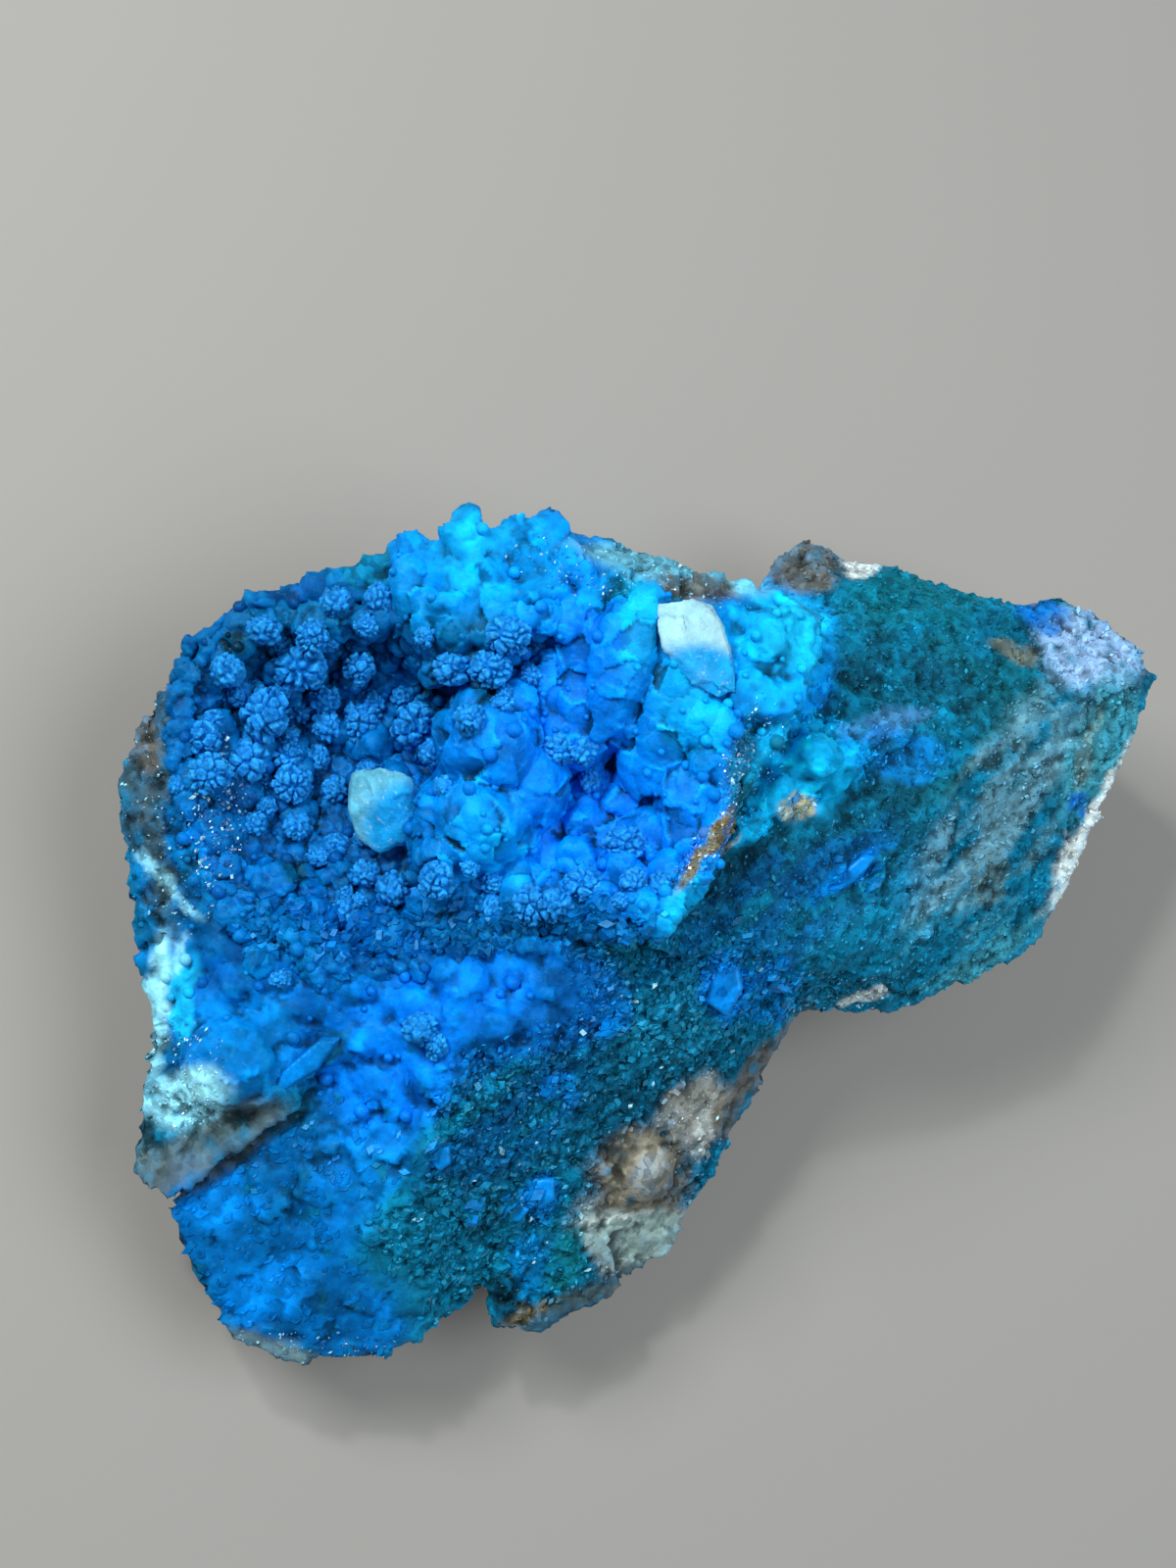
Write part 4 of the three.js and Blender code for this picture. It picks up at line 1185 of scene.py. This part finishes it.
def shader_node(tree, kind, values=None, links=None, **settings):
    """A new node: its settings, the values of some of its inputs, and what is linked to others."""
    node = tree.nodes.new("ShaderNode" + kind)
    for name, setting in settings.items():
        setattr(node, name, setting)
    for name, value in (values or {}).items():
        node.inputs[name].default_value = value
    for name, source in (links or {}).items():
        tree.links.new(source, node.inputs[name])
    return node


def object_place(tree):
    return shader_node(tree, "TexCoord").outputs["Object"]


def tint_of_piece(tree):
    return shader_node(tree, "Attribute", attribute_name="tint").outputs


def noise_node(tree, scale, detail=4.0, roughness=0.6):
    """Noise whose bumps are about one over `scale` metres across."""
    values = {"Scale": scale, "Detail": detail, "Roughness": roughness}
    return shader_node(tree, "TexNoise", values, {"Vector": object_place(tree)}).outputs["Fac"]


def ranged(tree, value, low, high, to_low, to_high):
    values = {"From Min": low, "From Max": high, "To Min": to_low, "To Max": to_high}
    return shader_node(tree, "MapRange", values, {"Value": value}).outputs["Result"]


def cell_node(tree, scale):
    """A random level for each of the ragged grains in the piece, about one over `scale` metres across."""
    place = object_place(tree)
    shake = shader_node(tree, "TexNoise", {"Scale": scale * 1.5}, {"Vector": place}).outputs["Color"]
    reach = {1: (0.6 / scale,) * 3}
    shaken = shader_node(tree, "VectorMath", reach, {0: shake, 2: place}, operation="MULTIPLY_ADD")
    cells = shader_node(tree, "TexVoronoi", {"Scale": scale}, {"Vector": shaken.outputs["Vector"]})
    return shader_node(tree, "SeparateColor", links={"Color": cells.outputs["Color"]}).outputs["Red"]


def times(tree, colour, factor, share=None):
    """The colour multiplied by a factor, as far as the share says."""
    links = {"A": colour, "B": factor}
    if share is not None:
        links["Factor"] = share
    product = shader_node(tree, "Mix", {"Factor": 1.0}, links, data_type="RGBA", blend_type="MULTIPLY")
    return product.outputs["Result"]


def tinted(tree, shader, cloud_scale, cell_scale, contrast, fleck_scale, fleck_colour, fleck_share):
    """The piece's tint, clouded by noise, with grains of uneven brightness and small paler flecks."""
    tint = tint_of_piece(tree)
    clouds = ranged(tree, noise_node(tree, cloud_scale), 0.3, 0.7, 0.75, 1.25)
    cells = ranged(tree, cell_node(tree, cell_scale), 0.0, 1.0, 1 - contrast, 1 + contrast)
    colour = times(tree, times(tree, tint["Color"], clouds), cells, tint["Alpha"])
    flecks = ranged(tree, noise_node(tree, fleck_scale, 2.0), 0.6, 0.72, 0.0, fleck_share)
    links = {"A": colour, "Factor": flecks}
    flecked = shader_node(tree, "Mix", {"B": (*fleck_colour, 1)}, links, data_type="RGBA")
    tree.links.new(flecked.outputs["Result"], shader.inputs["Base Color"])


def bumped(tree, shader, scale, distance):
    """A fine roughness, as strong as the piece's grains."""
    links = {0: noise_node(tree, scale, 6.0, 0.65), 1: tint_of_piece(tree)["Alpha"]}
    height = shader_node(tree, "Math", links=links, operation="MULTIPLY").outputs["Value"]
    bump = shader_node(tree, "Bump", {"Distance": distance * MM}, {"Height": height})
    tree.links.new(bump.outputs["Normal"], shader.inputs["Normal"])


BLUE_SHINE = (0.22, 0.72, 1.0)  # reflections take on the blue beneath them
WHITE_SHINE = (1.0, 1.0, 1.0)
# Each material: the values for tinted, the shine, one roughness or the scale and range of an uneven one, the
# scale and height of the bumps, and how light spreads in it: how much, how far each colour goes and how deep
BOTRYOIDS = dict(
    name="blue_gibbsite", tint=[500, 650, 0.16, 2600, CYAN, 0.2], shine=0.3, uneven=[900, 0.3, 0.55],
    bumps=[2200, 0.12], glow=[0.5, (0.2, 0.6, 1.0), 1.6],
)
ROSETTE_LOOK = dict(
    name="rosette_gibbsite", tint=[900, 2400, 0.3, 4000, CYAN, 0.35], shine=0.25, roughness=0.45,
    bumps=[4500, 0.1], glow=[0.2, (0.2, 0.6, 1.0), 0.6],
)
ROCK_LOOK = dict(
    name="host_rock_and_crust", tint=[380, 1150, 0.38, 1900, ROCK_FLECK, 0.3], shine=0.2,
    uneven=[700, 0.4, 0.75], bumps=[1500, 0.25], glow=[0.12, (0.2, 0.5, 0.8), 0.8],
)
DRUSE_LOOK = dict(
    name="drusy_gibbsite", tint=[900, 2200, 0.2, 3000, DRUSE_FLECK, 0.2], shine=0.35, roughness=0.3,
    bumps=[3500, 0.04],
)
GLITTER_LOOK = dict(
    name="glittering_crystals", tint=[900, 2200, 0.2, 3000, WHITE, 0.3], shine=0.9, shine_tint=WHITE_SHINE,
    roughness=0.16, bumps=[3500, 0.03],
)
PALE_LOOK = dict(
    name="pale_gibbsite", tint=[450, 900, 0.12, 1500, WHITE, 0.3], shine=0.3, roughness=0.45,
    bumps=[1800, 0.2], glow=[0.4, (0.5, 0.9, 1.0), 1.2],
)


def shader_of(name):
    material = bpy.data.materials.new(name)
    material.use_nodes = True
    return material, material.node_tree, material.node_tree.nodes["Principled BSDF"]


def mineral(name, tint, shine, bumps, roughness=0.5, uneven=None, glow=None, shine_tint=BLUE_SHINE):
    """A material whose colour is the tint that its piece keeps at each vertex."""
    material, tree, shader = shader_of(name)
    tinted(tree, shader, *tint)
    shader.inputs["Roughness"].default_value = roughness
    if uneven:
        scale, low, high = uneven
        level = ranged(tree, noise_node(tree, scale), 0.35, 0.65, low, high)
        tree.links.new(level, shader.inputs["Roughness"])
    if glow:
        weight, radius, depth = glow
        shader.inputs["Subsurface Weight"].default_value = weight
        shader.inputs["Subsurface Radius"].default_value = radius
        shader.inputs["Subsurface Scale"].default_value = depth * MM
    shader.inputs["Specular IOR Level"].default_value = shine
    shader.inputs["Specular Tint"].default_value = (*shine_tint, 1)
    bumped(tree, shader, *bumps)
    return material


def floor_material():
    material, _, shader = shader_of("pale_floor")
    shader.inputs["Base Color"].default_value = (*FLOOR_GREY, 1)
    shader.inputs["Roughness"].default_value = 0.8
    return material


def finished(obj, material):
    obj.data.materials.clear()
    obj.data.materials.append(material)
    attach(obj, "root")


# Camera, lights and floor


def place_camera():
    data = bpy.data.cameras.new("camera")
    data.sensor_width = 36.0
    data.lens = data.sensor_width / VIEW_HEIGHT * VIEW_DISTANCE
    data.clip_start = 0.01
    data.clip_end = 10.0
    camera = added("camera", data)
    turn = Matrix((VIEW_RIGHT, VIEW_UP, VIEW_BACK)).transposed().to_4x4()
    camera.matrix_world = Matrix.Translation(Vector(EYE * MM)) @ turn
    bpy.context.scene.camera = camera


# Lamps: [millimetres right, up and back from the view's target], size in millimetres, power and colour
LAMPS = {
    "key": [[-220, 280, 420], 200, 2.6, (1.0, 0.985, 0.96)],
    "glint": [[-120, 330, 420], 40, 0.8, (1.0, 1.0, 1.0)],
    "fill": [[380, 20, 420], 420, 2.3, (0.94, 0.97, 1.0)],
}
ROOM_COLOUR = (0.93, 0.95, 1.0)
ROOM_LIGHT = 0.18
FLOOR_SIZE = 4.0  # metres


def area_light(name, place, size, power, colour):
    """A soft square lamp that faces the view's target."""
    data = bpy.data.lights.new(name, "AREA")
    data.size = size * MM
    data.energy = power
    data.color = colour
    light = added(name, data)
    right, up, back = place
    way = Vector(right * VIEW_RIGHT + up * VIEW_UP + back * VIEW_BACK)
    light.location = Vector(VIEW_TARGET * MM) + way * MM
    light.rotation_euler = way.to_track_quat("Z", "Y").to_euler()


def make_stage():
    bpy.ops.mesh.primitive_plane_add(size=FLOOR_SIZE)
    floor = bpy.context.object
    floor.name = "floor"
    floor.data.materials.append(floor_material())
    for name, lamp in LAMPS.items():
        area_light(name, *lamp)
    world = bpy.data.worlds.new("room")
    bpy.context.scene.world = world
    world.use_nodes = True
    background = world.node_tree.nodes["Background"]
    background.inputs["Color"].default_value = (*ROOM_COLOUR, 1)
    background.inputs["Strength"].default_value = ROOM_LIGHT
    bpy.context.scene.view_settings.view_transform = "Standard"


def main():
    cad = surface_of(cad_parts["rock"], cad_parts["vug_crust"])
    rock = make_rock(cad)
    crust = make_crust(cad)
    skin = surface_of(rock, crust)
    gibbsite, druse, glitter = mineral(**BOTRYOIDS), mineral(**DRUSE_LOOK), mineral(**GLITTER_LOOK)
    finished(rock, mineral(**ROCK_LOOK))
    finished(crust, gibbsite)
    finished(make_rosettes(crust, skin), mineral(**ROSETTE_LOOK))
    finished(make_buds(crust, rock), gibbsite)
    for sheet in DRUSE_SHEETS:
        finished(crystal_sheet(rock, outside_tint, **sheet), druse)
    finished(crystal_sheet(rock, outside_tint, **ROCK_GLITTER), glitter)
    for sheet in HOLLOW_GLITTER:
        finished(crystal_sheet(crust, hollow_tint, **sheet), glitter)
    finished(crystal_sheet(crust, hollow_tint, **LIP_SHEET), druse)
    finished(make_blades(skin), druse)
    finished(make_slabs(skin), druse)
    finished(make_blocks(skin), mineral(**PALE_LOOK))
    place_camera()
    make_stage()


main()
